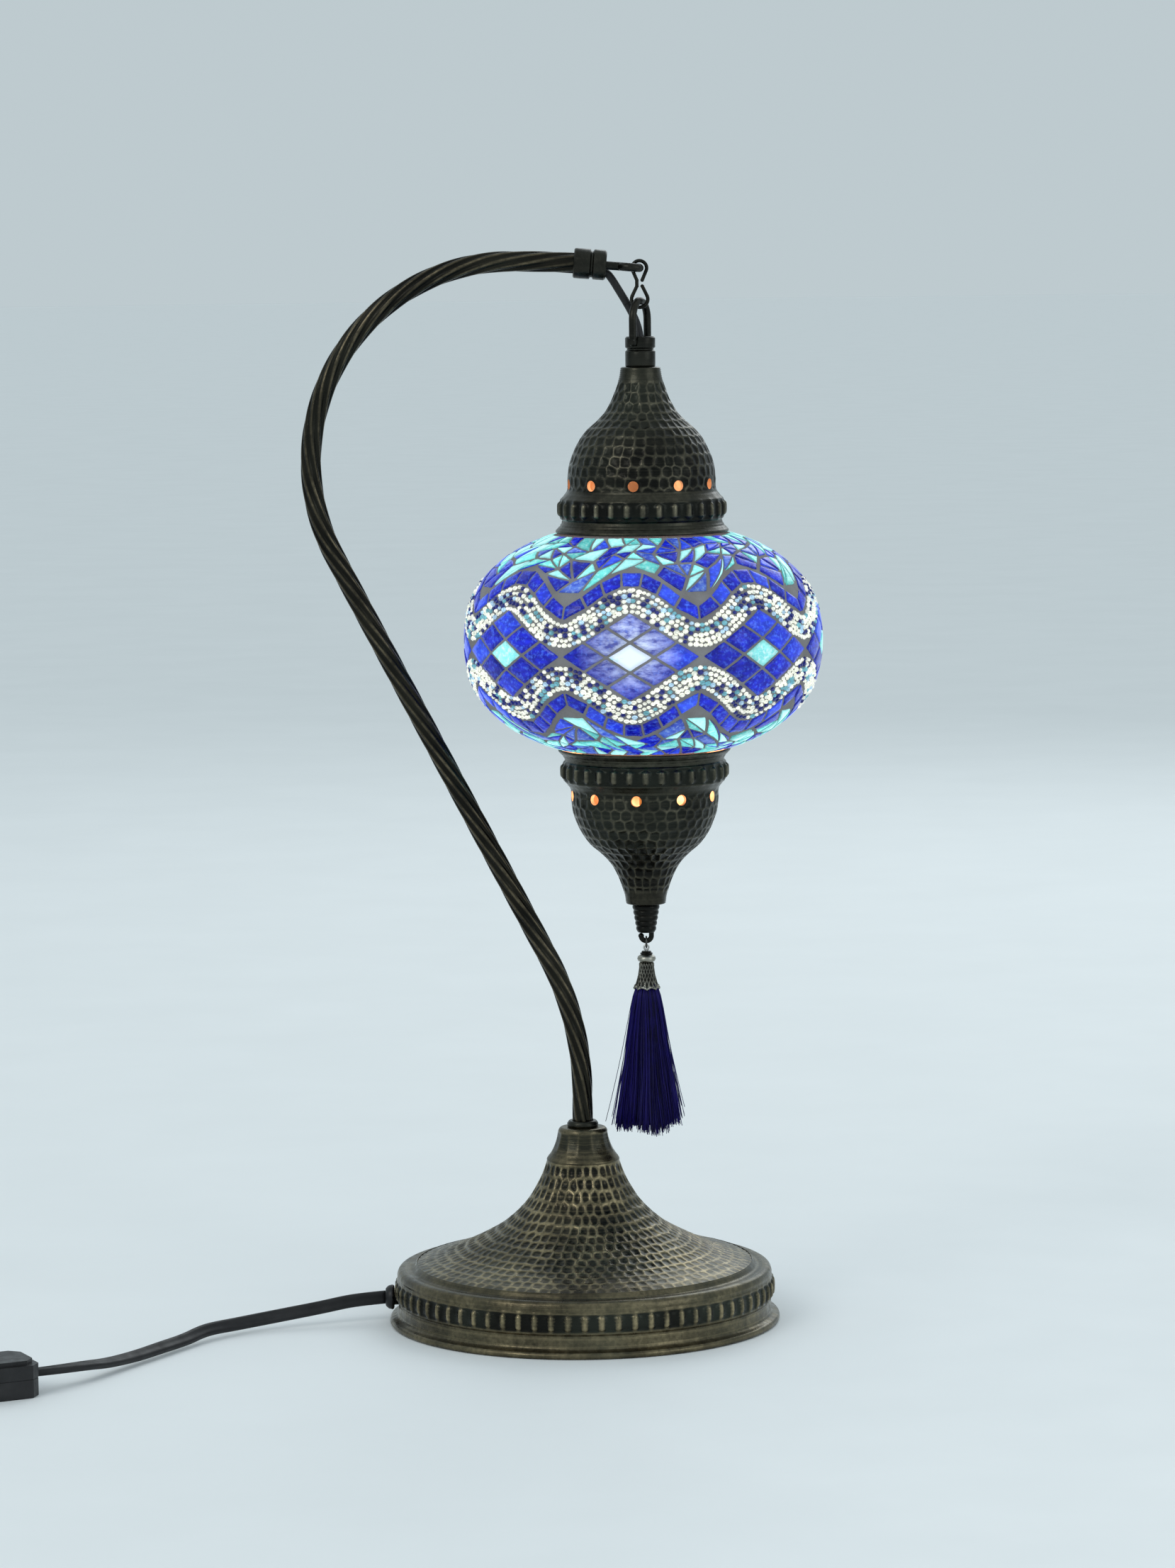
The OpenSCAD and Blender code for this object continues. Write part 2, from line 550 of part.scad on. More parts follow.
module holder_cap() color(black_plastic) hang(holder_top) difference() {
    rotate_extrude() polygon([[0, 0], [holder_r, 0], [holder_r, 3], [8.5, 9],
        [8.5, holder_cap_h], [0, holder_cap_h]]);
    translate([0, 0, 1.5]) cylinder(r = nipple_d / 2 + fit_gap, h = 20);
    translate([0, 0, -1]) cylinder(r = 3, h = 5);
}
module holder_body() color("#efe9dc") hang(holder_low) difference() {
    cylinder(r = holder_r, h = holder_len - fit_gap);
    translate([0, 0, -1]) cylinder(r = bulb_neck_r + 1, h = 26);
}
module bulb_base() color("#c9c2a8") hang(holder_low) {
    translate([0, 0, -3]) cylinder(r = bulb_neck_r, h = 22);
    translate([0, 0, 19]) cylinder(r1 = bulb_neck_r, r2 = 2.4, h = 3);
}
module bulb_glass() color("#fff6e0") hang(bulb_z) difference() {
    rise = holder_low - 3.1 - bulb_z;
    angle = acos((bulb_neck_r + 1.4) / bulb_r);
    rotate_extrude() polygon(concat([for (a = [-90 : 6 : angle]) bulb_r * [cos(a), sin(a)]],
        [[bulb_neck_r, rise], [bulb_neck_r - 1, rise]],
        [for (a = [angle : -6 : -90]) (bulb_r - 1) * [cos(a), sin(a)]]));
}
module upper_plate() color("#8a8d90") hang(upper_plate_z) difference() {
    washer(plate_r, holder_r + 0.4, plate_t);
    for (s = [-1, 1]) translate([s * frame_x, 0, -1]) cylinder(d = rod_d + 0.2, h = 4);
}
module lower_plate() color("#8a8d90") hang(lower_plate_z) difference() {
    washer(plate_r, stud_d / 2 + fit_gap, plate_t);
    for (s = [-1, 1]) translate([s * frame_x, 0, -1]) cylinder(d = rod_d + 0.2, h = 4);
}
module frame_rods() color("#8a8d90") hang(lower_plate_z - 2) for (s = [-1, 1])
    translate([s * frame_x, 0, 0]) cylinder(d = rod_d, h = upper_plate_z - lower_plate_z + plate_t + 4);
module tie_stud() color(old_brass) hang(stud_low) cylinder(d = stud_d, h = lower_plate_z + 8 - stud_low);
module tie_nut() color("#8a8d90") hang(lower_plate_z + plate_t + fit_gap) hex_nut(9, stud_d / 2 + fit_gap, 4);

// ---------------------------------------------------------------- globe

// Radius of the mosaic's outer face at height h above the middle of the globe
function skin_r(h) = globe_r * pow(1 - pow(min(abs(h) / globe_half, 1), glass_power), 1 / glass_power);
// Point of the globe at azimuth az and height h, moved out from the tiles' outer face
function skin_normal(h) = let (r = skin_r(h), u = pow(r / globe_r, glass_power - 1) / globe_r,
    v = sign(h) * pow(abs(h) / globe_half, glass_power - 1) / globe_half) [u, v] / norm([u, v]);
function on_skin(az, h, out) = let (n = skin_normal(h), r = skin_r(h) + out * n.x)
    [r * cos(az), r * sin(az), h + out * n.y];
function skin_line(out, top) = [for (i = [-24 : 24])
    let (h = top * sin(i * 90 / 24), q = on_skin(0, h, out)) [q.x, q.z]];

glass_top = globe_half * 0.955;
module skin_shell(outer, inner) rotate_extrude()
    polygon(concat(skin_line(-outer, glass_top), [for (i = [48 : -1 : 0]) skin_line(-inner, glass_top)[i]]));
module globe_glass() color("#dfeef2") hang(globe_z) skin_shell(mosaic_t, mosaic_t + glass_t);
module grout_layer() color("#7d7d80") hang(globe_z) skin_shell(mosaic_t - grout_t, mosaic_t - 0.05);

// Flat-bottomed tile on three or four corners, each given as [azimuth, height]
module tile(c) {
    n = len(c);
    low = [for (q = c) on_skin(q.x, q.y, tile_base + grout_t - mosaic_t)];
    high = [for (q = c) on_skin(q.x, q.y, tile_base + grout_t + tile_t - mosaic_t)];
    sides = [for (i = [0 : n - 1]) let (j = (i + 1) % n) each [[i, n + i, j], [j, n + i, n + j]]];
    lids = [for (i = [1 : n - 2]) each [[0, i, i + 1], [n, n + i + 1, n + i]]];
    polyhedron(concat(low, high), concat(sides, lids));
}
// Corners drawn in towards their middle, to leave the grout line
function shrunk(c, k) = let (m = [for (i = [0, 1]) [for (q = c) q[i]] * [for (q = c) 1] / len(c)])
    [for (q = c) m + k * (q - m)];

// Grid point of a diamond, and one of its tiles
function grid_point(i, j) = [step_az / 2 * ((i + j) / grid - 1),
    diamond_half * (i - j) / grid - pattern_drop];
function diamond_cell(i, j) = shrunk([grid_point(i, j), grid_point(i, j + 1), grid_point(i + 1, j + 1),
    grid_point(i + 1, j)], tile_fill);
module each_repeat() hang(globe_z) for (r = [0 : repeats - 1])
    rotate([0, 0, front_az + r * step_az]) children();
module diamond_tiles() color(cobalt) each_repeat() for (i = [0 : grid - 1]) for (j = [0 : grid - 1])
    if (i != 1 || j != 1) tile(diamond_cell(i, j));
module diamond_centres() color(turquoise) each_repeat() tile(diamond_cell(1, 1));

// Wave that the bead bands follow: 1 over the middle of a diamond, 0 between two diamonds
function wave(az) = (1 + cos(az * repeats)) / 2;
function band_mid(az) = band_trough + band_rise * wave(az);
function band_slope(az) = band_rise * sin(az * repeats) / 2 * repeats * PI / 180 / (globe_r * PI / 180);
function band_edge(az, off) = let (s = -band_slope(az), k = off / norm([1, s]))
    [az - k * s / (globe_r * PI / 180), band_mid(az) + k];
module bead_band(side) {
    n = repeats * 12;
    edges = [for (i = [0 : n - 1]) for (e = [-1, 1]) let (q = band_edge(i * 360 / n, e * band_half))
        [q.x, side * q.y - pattern_drop]];
    low = [for (q = edges) on_skin(q.x, q.y, tile_base + grout_t - mosaic_t)];
    high = [for (q = edges) on_skin(q.x, q.y, tile_base + grout_t + tile_t - mosaic_t)];
    quads = [for (i = [0 : n - 1]) let (a = 2 * i, b = 2 * ((i + 1) % n), t = 2 * n)
        each [[a, b, b + 1, a + 1], [t + a, t + a + 1, t + b + 1, t + b], [a, t + a, t + b, b],
            [a + 1, b + 1, t + b + 1, t + a + 1]]];
    faces = [for (q = quads) each [[q[0], q[1], q[2]], [q[0], q[2], q[3]]]];
    polyhedron(concat(low, high), side > 0 ? faces : [for (f = faces) [f[2], f[1], f[0]]]);
}
module upper_bead_band() color("#e8e8d8") hang(globe_z) rotate([0, 0, front_az]) bead_band(1);
module lower_bead_band() color("#e8e8d8") hang(globe_z) rotate([0, 0, front_az]) bead_band(-1);

// Row of tiles outside each bead band, cut square to its edge; the cuts stand further apart
// in the trough, where the row turns tightly
function border_cut(i) = let (t = 2 * i / border_count - 1)
    sign(t) * step_az / 2 * (0.68 * abs(t) + 0.32 * pow(abs(t), 6));
function border_cell(i) = shrunk([band_edge(border_cut(i), border_low),
    band_edge(border_cut(i + 1), border_low), band_edge(border_cut(i + 1), border_high),
    band_edge(border_cut(i), border_high)], border_fill);
module border_tiles() color(cobalt) each_repeat() for (i = [0 : border_count - 1]) {
    c = border_cell(i);
    tile([for (q = c) [q.x, q.y - pattern_drop]]);
    tile([for (j = [3 : -1 : 0]) [c[j].x, -c[j].y - pattern_drop]]);
}

// Broken-glass crown between the border and a cap: rows of cells, some cut into two shards
function crown_start(az) = crown_trough + crown_rise * pow(wave(az), 0.6);
function jitter(row, k, span) = rands(-span, span, 1, row * 97 + (k % crown_cells) * 7)[0];
function crown_corner(row, k, side) = let (s = row / crown_rows,
        aside = row == 0 ? 0 : jitter(row, k, 0.2),
        az = (k + 0.5 * (row % 2) + aside) * 360 / crown_cells,
        lift = row == 0 || row == crown_rows ? 0 : jitter(row + 5, k, 1.1 - s),
        low = crown_start(az), rise = crown_end + side * pattern_drop - low)
    [az, low + rise * pow(s, 0.78) + lift];
function crown_cell(row, k, side) = [crown_corner(row, k, side), crown_corner(row, k + 1, side),
    crown_corner(row + 1, k + 1, side), crown_corner(row + 1, k, side)];
function crown_split(row, k) = rands(0, 1, 1, row * 31 + k * 13 + 3)[0] > 0.55;
function crown_pieces(row, k, side) = let (c = crown_cell(row, k, side))
    crown_split(row, k) ? [[c[0], c[1], c[2]], [c[0], c[2], c[3]]] : [c];
function crown_hue(row, k, part, side) =
    floor(rands(0, 2.999, 1, row * 211 + k * 17 + part * 5 + side * 3 + 900)[0]);
module crown(hue) hang(globe_z) rotate([0, 0, front_az]) for (row = [0 : crown_rows - 1])
    for (k = [0 : crown_cells - 1]) for (side = [-1, 1]) {
        parts = crown_pieces(row, k, side);
        for (p = [0 : len(parts) - 1]) if (crown_hue(row, k, p, side) == hue) {
            c = shrunk(parts[p], len(parts) > 1 ? 0.78 : 0.86);
            n = len(c);
            tile(side > 0 ? [for (q = c) [q.x, q.y - pattern_drop]]
                : [for (i = [n - 1 : -1 : 0]) [c[i].x, -c[i].y - pattern_drop]]);
        }
    }
module cobalt_shards() color(cobalt) crown(0);
module blue_shards() color(mid_blue) crown(1);
module turquoise_shards() color(turquoise) crown(2);

// ---------------------------------------------------------------- finial and tassel

module finial() color(dark_brass) hang(finial_low) difference() {
    rotate_extrude() polygon(concat([[0, 0], [3.7, 0]],
        [for (s = [0 : 0.025 : 1])
            [3.9 + (finial_r - 4.3) * s + 0.4 * abs(sin(s * 900)), 0.3 + s * (finial_h - 0.9)]],
        [[5.6, finial_h - 0.1], [0, finial_h - 0.1]]));
    translate([0, 0, finial_h - 7]) cylinder(d = stud_d + 0.2, h = 10);
    translate([curl_r, 0, -1]) cylinder(d = curl_d + 0.1, h = 5);
}
module finial_hook() color(dark_brass) hang(curl_low_z + curl_r) {
    wire_arc(curl_r, curl_d, -180, 0);
    wire([curl_r, 0, 0], [curl_r, 0, finial_low + 3.8 - curl_low_z - curl_r], curl_d);
    translate([-curl_r, 0, 0]) sphere(d = curl_d + 0.3);
}
module jump_ring() color("#2a2a2c") hang(ring_z) rotate([0, 90, 0]) rotate_extrude()
    translate([ring_r, 0]) circle(d = ring_d, $fn = 32);
module head_pin() color("#9a978c") {
    hang(pin_pivot_z) wire_arc(pin_eye_r, ring_d, 0, 360);
    hang(tassel_cap_top - 3) cylinder(d = ring_d, h = pin_pivot_z - pin_eye_r - tassel_cap_top + 3);
}
module tassel_bead() color("#55524a") hang(disc_top + 0.05) rotate_extrude()
    polygon([[0.5, 0], [2.6, 0], [2.9, 0.4], [2.6, 0.8], [2, 0.85], [2.3, 1.2], [1.9, 1.6], [0.5, 1.6]]);
module tassel_disc() color("#8f8a74") hang(disc_top - disc_h) rotate_extrude()
    polygon([[0.5, 0.05], [2.6, 0.05], [3.7, 0.7], [disc_r, 1.7], [3.9, 2.7], [3, 3.4], [0.5, 3.5]]);
module tassel_cap() color("#8f8a74") hang(tassel_cap_low) difference() {
    rotate_extrude() polygon([[0, 0], [5.4, 0], [4.5, 2.4], [3.7, 5.4], [3.2, 8.6], [3, 11], [0, 11]]);
    translate([0, 0, -1]) cylinder(r1 = 5.2, r2 = 2.6, h = 10.2);
    translate([0, 0, 8]) cylinder(d = ring_d + 0.2, h = 5);
}
module tassel_skirt() color("#15154a") hang(0) rotate_extrude() polygon(concat(
    [[0, skirt_low], [skirt_r - 1, skirt_low], [skirt_r, skirt_low + 1.5]],
    curve([for (s = [0 : 0.2 : 1]) [skirt_r + (5.2 - skirt_r) * pow(s, 0.8),
        skirt_low + 1.5 + s * (tassel_cap_low - 0.6 - skirt_low - 1.5)]], 1),
    [[4.6, tassel_cap_low + 0.2], [2.2, tassel_cap_low + 7.6], [0, tassel_cap_low + 7.6]]));

base_shell();
base_weight();
base_plate();
felt_pad();
cord_bush();
stem_seat();
stem_washer();
stem_nut();
arm_tube();
arm_collar();
arm_eye();
base_lead();
arm_lead();
supply_cord();
switch_tray();
switch_lid();
switch_screws();
switch_rocker();
tail_cord();
cord_coil();
plug_cord();
plug_body();
plug_pins();
hanging_link();
hanging_lead();
bail();
bail_rivets();
ferrule();
nipple();
neck_nut();
top_cap();
holder_cap();
holder_body();
bulb_base();
bulb_glass();
upper_plate();
frame_rods();
lower_plate();
tie_stud();
tie_nut();
globe_glass();
grout_layer();
diamond_tiles();
diamond_centres();
border_tiles();
cobalt_shards();
blue_shards();
turquoise_shards();
upper_bead_band();
lower_bead_band();
bottom_cap();
finial();
finial_hook();
jump_ring();
head_pin();
tassel_bead();
tassel_disc();
tassel_cap();
tassel_skirt();
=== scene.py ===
import math

import bpy
import numpy as np
from mathutils import Matrix


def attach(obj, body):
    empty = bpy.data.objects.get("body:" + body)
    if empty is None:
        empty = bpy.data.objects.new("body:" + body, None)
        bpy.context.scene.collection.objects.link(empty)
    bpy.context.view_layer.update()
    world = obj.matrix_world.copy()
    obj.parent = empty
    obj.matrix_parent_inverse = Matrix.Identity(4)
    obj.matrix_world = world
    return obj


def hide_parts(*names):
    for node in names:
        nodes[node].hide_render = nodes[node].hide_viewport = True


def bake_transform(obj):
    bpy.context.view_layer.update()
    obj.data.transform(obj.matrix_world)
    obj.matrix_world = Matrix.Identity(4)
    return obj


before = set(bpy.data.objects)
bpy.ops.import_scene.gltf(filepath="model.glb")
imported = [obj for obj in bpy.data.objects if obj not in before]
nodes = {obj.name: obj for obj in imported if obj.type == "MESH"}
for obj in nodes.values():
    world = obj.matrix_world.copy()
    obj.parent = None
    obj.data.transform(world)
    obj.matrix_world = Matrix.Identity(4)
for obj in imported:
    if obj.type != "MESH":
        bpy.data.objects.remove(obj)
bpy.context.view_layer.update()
rng = np.random.default_rng(11)

MM = 0.001
TAU = 2 * math.pi

# Main sizes of the lamp, in millimetres
REACH = 29.5
EYE_Z = 472.501
GLOBE_Z, GLOBE_R, GLOBE_HALF, GLASS_POWER = 307.401, 80.0, 52.4652, 2.3
GLOBE_TOP, GLOBE_LOW = 355.801, 259.001
CAP_H, BOTTOM_CAP_H = 73.0, 70.0
FRONT_AZ = math.radians(-94.8)
PATTERN_DROP = 1.6
CORD_W, LEAD_D = 6.0, 3.5


# ---------------------------------------------------------------- camera and stage

camera_data = bpy.data.cameras.new("camera")
camera_data.lens = 118.8
camera_data.sensor_width = 36
camera = bpy.data.objects.new("camera", camera_data)
bpy.context.scene.collection.objects.link(camera)
camera.matrix_world = (Matrix.Translation((0.0039, -2.302, 0.485))
                       @ Matrix.Rotation(math.radians(84), 4, "X")
                       @ Matrix.Rotation(math.radians(-0.66), 4, "Z"))
bpy.context.scene.camera = camera
bpy.context.scene.view_settings.view_transform = "Standard"


def area_light(name, place, aim, size, energy, colour):
    data = bpy.data.lights.new(name, "AREA")
    data.shape, data.size, data.energy, data.color = "DISK", size, energy, colour
    lamp = bpy.data.objects.new(name, data)
    bpy.context.scene.collection.objects.link(lamp)
    lamp.location = place
    away = lamp.location - Matrix.Translation(aim).translation
    lamp.rotation_euler = away.to_track_quat("Z", "Y").to_euler()


area_light("key", (-1.5, -1.7, 1.7), (0, 0, 0.2), 1.4, 14, (1.0, 0.99, 0.97))
area_light("fill", (1.9, -1.3, 1.0), (0, 0, 0.2), 1.6, 7, (0.93, 0.97, 1.0))
area_light("back", (0.7, 1.9, 1.5), (0, 0, 0.25), 1.6, 9, (0.95, 0.98, 1.0))

sun_data = bpy.data.lights.new("sky_fill", "SUN")
sun_data.energy, sun_data.angle = 0.32, math.radians(120)
sun = bpy.data.objects.new("sky_fill", sun_data)
bpy.context.scene.collection.objects.link(sun)

world = bpy.data.worlds.new("studio")
world.use_nodes = True
world.node_tree.nodes["Background"].inputs["Color"].default_value = (0.66, 0.76, 0.80, 1)
world.node_tree.nodes["Background"].inputs["Strength"].default_value = 0.78
bpy.context.scene.world = world


# ---------------------------------------------------------------- material helper

class Paint:
    """A material built from nodes, with the Principled shader at its end."""

    def __init__(self, name):
        self.mat = bpy.data.materials.new(name)
        self.mat.use_nodes = True
        self.tree = self.mat.node_tree
        self.tree.nodes.clear()
        self.shader = self.add("ShaderNodeBsdfPrincipled")
        end = self.add("ShaderNodeOutputMaterial")
        self.tree.links.new(self.shader.outputs[0], end.inputs[0])
        self.place = self.add("ShaderNodeTexCoord").outputs["Object"]

    def add(self, kind, **settings):
        node = self.tree.nodes.new(kind)
        for key, value in settings.items():
            setattr(node, key, value)
        return node

    def put(self, socket, value):
        if isinstance(value, bpy.types.NodeSocket):
            self.tree.links.new(value, socket)
        elif isinstance(value, tuple) and len(value) == 3 and socket.type == "RGBA":
            socket.default_value = (*value, 1)
        else:
            socket.default_value = value

    def set(self, **values):
        for key, value in values.items():
            self.put(self.shader.inputs[key.replace("_", " ")], value)

    def maths(self, kind, a, b=0.0):
        node = self.add("ShaderNodeMath", operation=kind)
        self.put(node.inputs[0], a)
        self.put(node.inputs[1], b)
        return node.outputs[0]

    def stretched(self, scale, vector):
        node = self.add("ShaderNodeMapping")
        self.put(node.inputs["Vector"], vector)
        node.inputs["Scale"].default_value = scale
        return node.outputs[0]

    def noise(self, scale, detail=3.0, vector=None, rough=0.55):
        node = self.add("ShaderNodeTexNoise")
        self.put(node.inputs["Vector"], vector or self.place)
        node.inputs["Scale"].default_value = scale
        node.inputs["Detail"].default_value = detail
        node.inputs["Roughness"].default_value = rough
        return node.outputs[0]

    def remap(self, value, low, high, to_low=0.0, to_high=1.0):
        node = self.add("ShaderNodeMapRange", clamp=True)
        for socket, v in zip(node.inputs, (value, low, high, to_low, to_high)):
            self.put(socket, v)
        return node.outputs[0]

    def mix(self, share, a, b):
        node = self.add("ShaderNodeMix", data_type="RGBA")
        self.put(node.inputs[0], share)
        self.put(node.inputs[6], a)
        self.put(node.inputs[7], b)
        return node.outputs[2]

    def attribute(self, name):
        return self.add("ShaderNodeAttribute", attribute_name=name)

    def turned(self, axis_x):
        """Vector of (distance from an upright axis, height, 0), for marks left by turning."""
        apart = self.add("ShaderNodeSeparateXYZ")
        self.put(apart.inputs[0], self.place)
        x = self.maths("SUBTRACT", apart.outputs[0], axis_x)
        flat = self.add("ShaderNodeCombineXYZ")
        self.put(flat.inputs[0], x)
        self.put(flat.inputs[1], apart.outputs[1])
        length = self.add("ShaderNodeVectorMath", operation="LENGTH")
        self.put(length.inputs[0], flat.outputs[0])
        both = self.add("ShaderNodeCombineXYZ")
        self.put(both.inputs[0], length.outputs["Value"])
        self.put(both.inputs[1], apart.outputs[2])
        return both.outputs[0]

    def distance(self, point):
        node = self.add("ShaderNodeVectorMath", operation="DISTANCE")
        self.put(node.inputs[0], self.place)
        node.inputs[1].default_value = point
        return node.outputs["Value"]

    def bump(self, height, strength, distance):
        node = self.add("ShaderNodeBump")
        self.put(node.inputs["Height"], height)
        node.inputs["Strength"].default_value = strength
        node.inputs["Distance"].default_value = distance
        self.put(self.shader.inputs["Normal"], node.outputs[0])


def patina(name, dark, bright, olive, rub, axis_x=None, lines=0.0):
    """Darkened metal that drifts to olive, bright where rubbed and where a highlight is painted on ridges,
    with turned lines round an upright axis.
    """
    p = Paint(name)
    wear_and_highlight = p.attribute("wear_and_highlight").outputs["Fac"]
    fine = p.noise(520, 4)
    blotch = p.noise(38, 3)
    # The wear attribute brightens ridges: partly rubbed wear, partly painted highlight.
    share = p.maths("MULTIPLY", wear_and_highlight, p.remap(fine, 0.3, 0.65, 0.45, 1.1))
    share = p.maths("MULTIPLY", share, p.remap(p.noise(70, 2), 0.38, 0.62, 0.45, 1.15))
    share = p.maths("ADD", share, p.remap(blotch, 0.45, 0.75, 0, rub))
    height = fine
    if axis_x is not None:
        ring = p.noise(900, 2, p.turned(axis_x))
        share = p.maths("ADD", share, p.remap(ring, 0.5, 0.8, 0, lines * 0.5))
        height = p.maths("ADD", fine, p.maths("MULTIPLY", ring, lines * 3))
    share = p.remap(share, 0, 1)
    base = p.mix(p.remap(p.noise(22, 2), 0.4, 0.65), dark, olive)
    p.set(Base_Color=p.mix(share, base, bright), Metallic=0.92,
          Roughness=p.remap(p.noise(240, 4), 0.3, 0.7, 0.2, 0.42))
    p.shader.inputs["Specular IOR Level"].default_value = 0.35
    p.bump(height, 0.35, 0.00025)
    return p.mat


def simple(name, colour, other, rough, metallic=0.0, grain=300, depth=0.25, **more):
    """Solid colour that drifts to a second one, with grain in the bump and the roughness."""
    p = Paint(name)
    grainy = p.noise(grain, 5)
    p.set(Base_Color=p.mix(p.remap(p.noise(grain / 7, 4), 0.35, 0.7), colour, other), Metallic=metallic,
          Roughness=p.remap(p.noise(grain / 3, 4), 0.3, 0.7, rough[0], rough[1]))
    for key, value in more.items():
        p.put(p.shader.inputs[key.replace("_", " ")], value)
    p.bump(grainy, depth, 0.0002)
    return p.mat


dark_metal = patina("cap_metal", (0.009, 0.009, 0.008), (0.22, 0.20, 0.14), (0.022, 0.025, 0.02), 0.06,
                    REACH * MM, 0.2)
base_metal = patina("base_metal", (0.012, 0.012, 0.010), (0.29, 0.24, 0.14), (0.03, 0.034, 0.027), 0.12,
                    0.0, 0.5)
arm_metal = patina("arm_metal", (0.008, 0.008, 0.007), (0.20, 0.165, 0.105), (0.018, 0.018, 0.014), 0.05)
fitting_metal = patina("fitting_metal", (0.011, 0.011, 0.010), (0.13, 0.12, 0.09), (0.022, 0.024, 0.02), 0.2,
                       REACH * MM, 0.2)
steel = simple("steel", (0.42, 0.43, 0.44), (0.30, 0.30, 0.30), (0.3, 0.5), 1.0, 600)
iron = simple("cast_iron", (0.035, 0.034, 0.034), (0.06, 0.05, 0.045), (0.6, 0.85), 0.6, 400, 0.8)
felt = simple("felt", (0.012, 0.03, 0.018), (0.02, 0.045, 0.03), (0.9, 1.0), 0, 2200, 0.9, Sheen_Weight=0.6)
plastic = simple("black_plastic", (0.010, 0.010, 0.011), (0.018, 0.018, 0.019), (0.3, 0.48), 0, 900, 0.18,
                 Specular_IOR_Level=0.3)
flex = simple("cord_sleeve", (0.011, 0.011, 0.012), (0.02, 0.02, 0.021), (0.38, 0.55), 0, 700, 0.25,
              Specular_IOR_Level=0.25)
brown = simple("lead_insulation", (0.02, 0.017, 0.013), (0.04, 0.033, 0.025), (0.4, 0.6), 0, 700, 0.3)
porcelain = simple("porcelain", (0.78, 0.74, 0.66), (0.70, 0.66, 0.58), (0.12, 0.25), 0, 200, 0.1)
contact = simple("contact_brass", (0.6, 0.5, 0.28), (0.4, 0.33, 0.18), (0.3, 0.5), 1.0, 500)
pin_metal = simple("pin_metal", (0.62, 0.62, 0.60), (0.5, 0.49, 0.46), (0.22, 0.4), 1.0, 700)
clear = simple("clear_glass", (0.75, 0.86, 0.90), (0.82, 0.92, 0.95), (0.08, 0.2), 0, 90, 0.2)
silver = patina("antique_silver", (0.006, 0.006, 0.005), (0.36, 0.35, 0.30), (0.02, 0.02, 0.018), 0.0,
                REACH * MM, 0.1)
polished = simple("rubbed_silver", (0.40, 0.39, 0.34), (0.16, 0.155, 0.13), (0.25, 0.45), 1.0, 700)
ring_wire = simple("wire_steel", (0.045, 0.045, 0.045), (0.10, 0.10, 0.095), (0.3, 0.5), 1.0, 900)

floor_paint = simple("floor", (0.80, 0.83, 0.84), (0.82, 0.85, 0.86), (0.55, 0.7), 0, 60, 0.05)

bulb_paint = Paint("opal_bulb")
bulb_paint.set(Base_Color=(0.9, 0.88, 0.8), Emission_Color=(1.0, 0.9, 0.75), Emission_Strength=6.0,
               Roughness=bulb_paint.remap(bulb_paint.noise(200), 0.3, 0.7, 0.3, 0.45))


def glass_paint(name, colour, pale, deep, glow, hot=0.0, other=None):
    """Stained glass lit from inside: streaks, seeds and a different shade for each tile."""
    p = Paint(name)
    own = p.add("ShaderNodeNewGeometry").outputs["Random Per Island"]
    turn = p.add("ShaderNodeCombineXYZ")
    for socket, k in zip(turn.inputs, (7.0, 3.0, 5.0)):
        p.put(socket, p.maths("MULTIPLY", own, k))
    shift = p.add("ShaderNodeVectorMath", operation="ADD")
    p.put(shift.inputs[0], p.place)
    p.put(shift.inputs[1], turn.outputs[0])
    streak = p.noise(170, 5, p.stretched((1, 1, 2.6), shift.outputs[0]), 0.65)
    crackle = p.noise(620, 4, shift.outputs[0])
    tone = p.mix(p.remap(streak, 0.40, 0.66), deep, colour)
    tone = p.mix(p.remap(crackle, 0.50, 0.68, 0, 0.55), tone, pale)
    tone = p.mix(p.remap(own, 0.62, 1.0, 0, 0.3), tone, pale)
    # Painted hot spot: the bulb's light is painted in brightest through the middle of the front diamond
    hot_x, hot_y = REACH + GLOBE_R * math.cos(FRONT_AZ), GLOBE_R * math.sin(FRONT_AZ)
    hot_z = GLOBE_Z - PATTERN_DROP + 4
    near = p.remap(p.distance((hot_x * MM, hot_y * MM, hot_z * MM)), 0.004, 0.024, 1.0, 0.0)
    painted_hot_spot = p.maths("MULTIPLY", near, p.remap(streak, 0.38, 0.66, hot * 0.2, hot * 1.4))
    tone = p.mix(p.remap(painted_hot_spot, 0, 1), tone, (0.66, 0.78, 1.0))
    if other:
        tone = p.mix(p.maths("GREATER_THAN", own, 0.45), tone, p.mix(crackle, *other))
    # Painted glow: each tile gives off light as if lit by the bulb, less at its chamfered edge.
    inner = p.attribute("inner").outputs["Fac"]
    power = p.maths("MULTIPLY", p.remap(own, 0, 1, glow * 0.6, glow * 1.25), p.remap(inner, 0, 1, 0.6, 1.0))
    p.set(Base_Color=p.mix(0.85, tone, (0, 0, 0.01)), Emission_Color=tone, Emission_Strength=power,
          Roughness=p.remap(streak, 0.3, 0.7, 0.08, 0.22), Coat_Weight=0.12)
    p.shader.inputs["Coat Roughness"].default_value = 0.06
    p.shader.inputs["Specular IOR Level"].default_value = 0.3
    p.bump(p.maths("ADD", streak, p.maths("MULTIPLY", crackle, 0.5)), 0.4, 0.0005)
    return p.mat


cobalt = glass_paint("cobalt_glass", (0.009, 0.020, 0.66), (0.07, 0.19, 0.95), (0.002, 0.004, 0.30),
                     1.15, 0.8)
blue = glass_paint("blue_glass", (0.10, 0.22, 0.82), (0.36, 0.58, 0.98), (0.04, 0.09, 0.62), 1.1,
                   other=((0.14, 0.66, 0.68), (0.60, 1.0, 0.98)))
turquoise = glass_paint("turquoise_glass", (0.20, 0.86, 0.80), (0.62, 1.0, 0.96), (0.10, 0.60, 0.60), 1.15)
centre = glass_paint("centre_glass", (0.34, 0.93, 0.90), (0.85, 1.0, 1.0), (0.20, 0.70, 0.72), 1.3, 2.4)

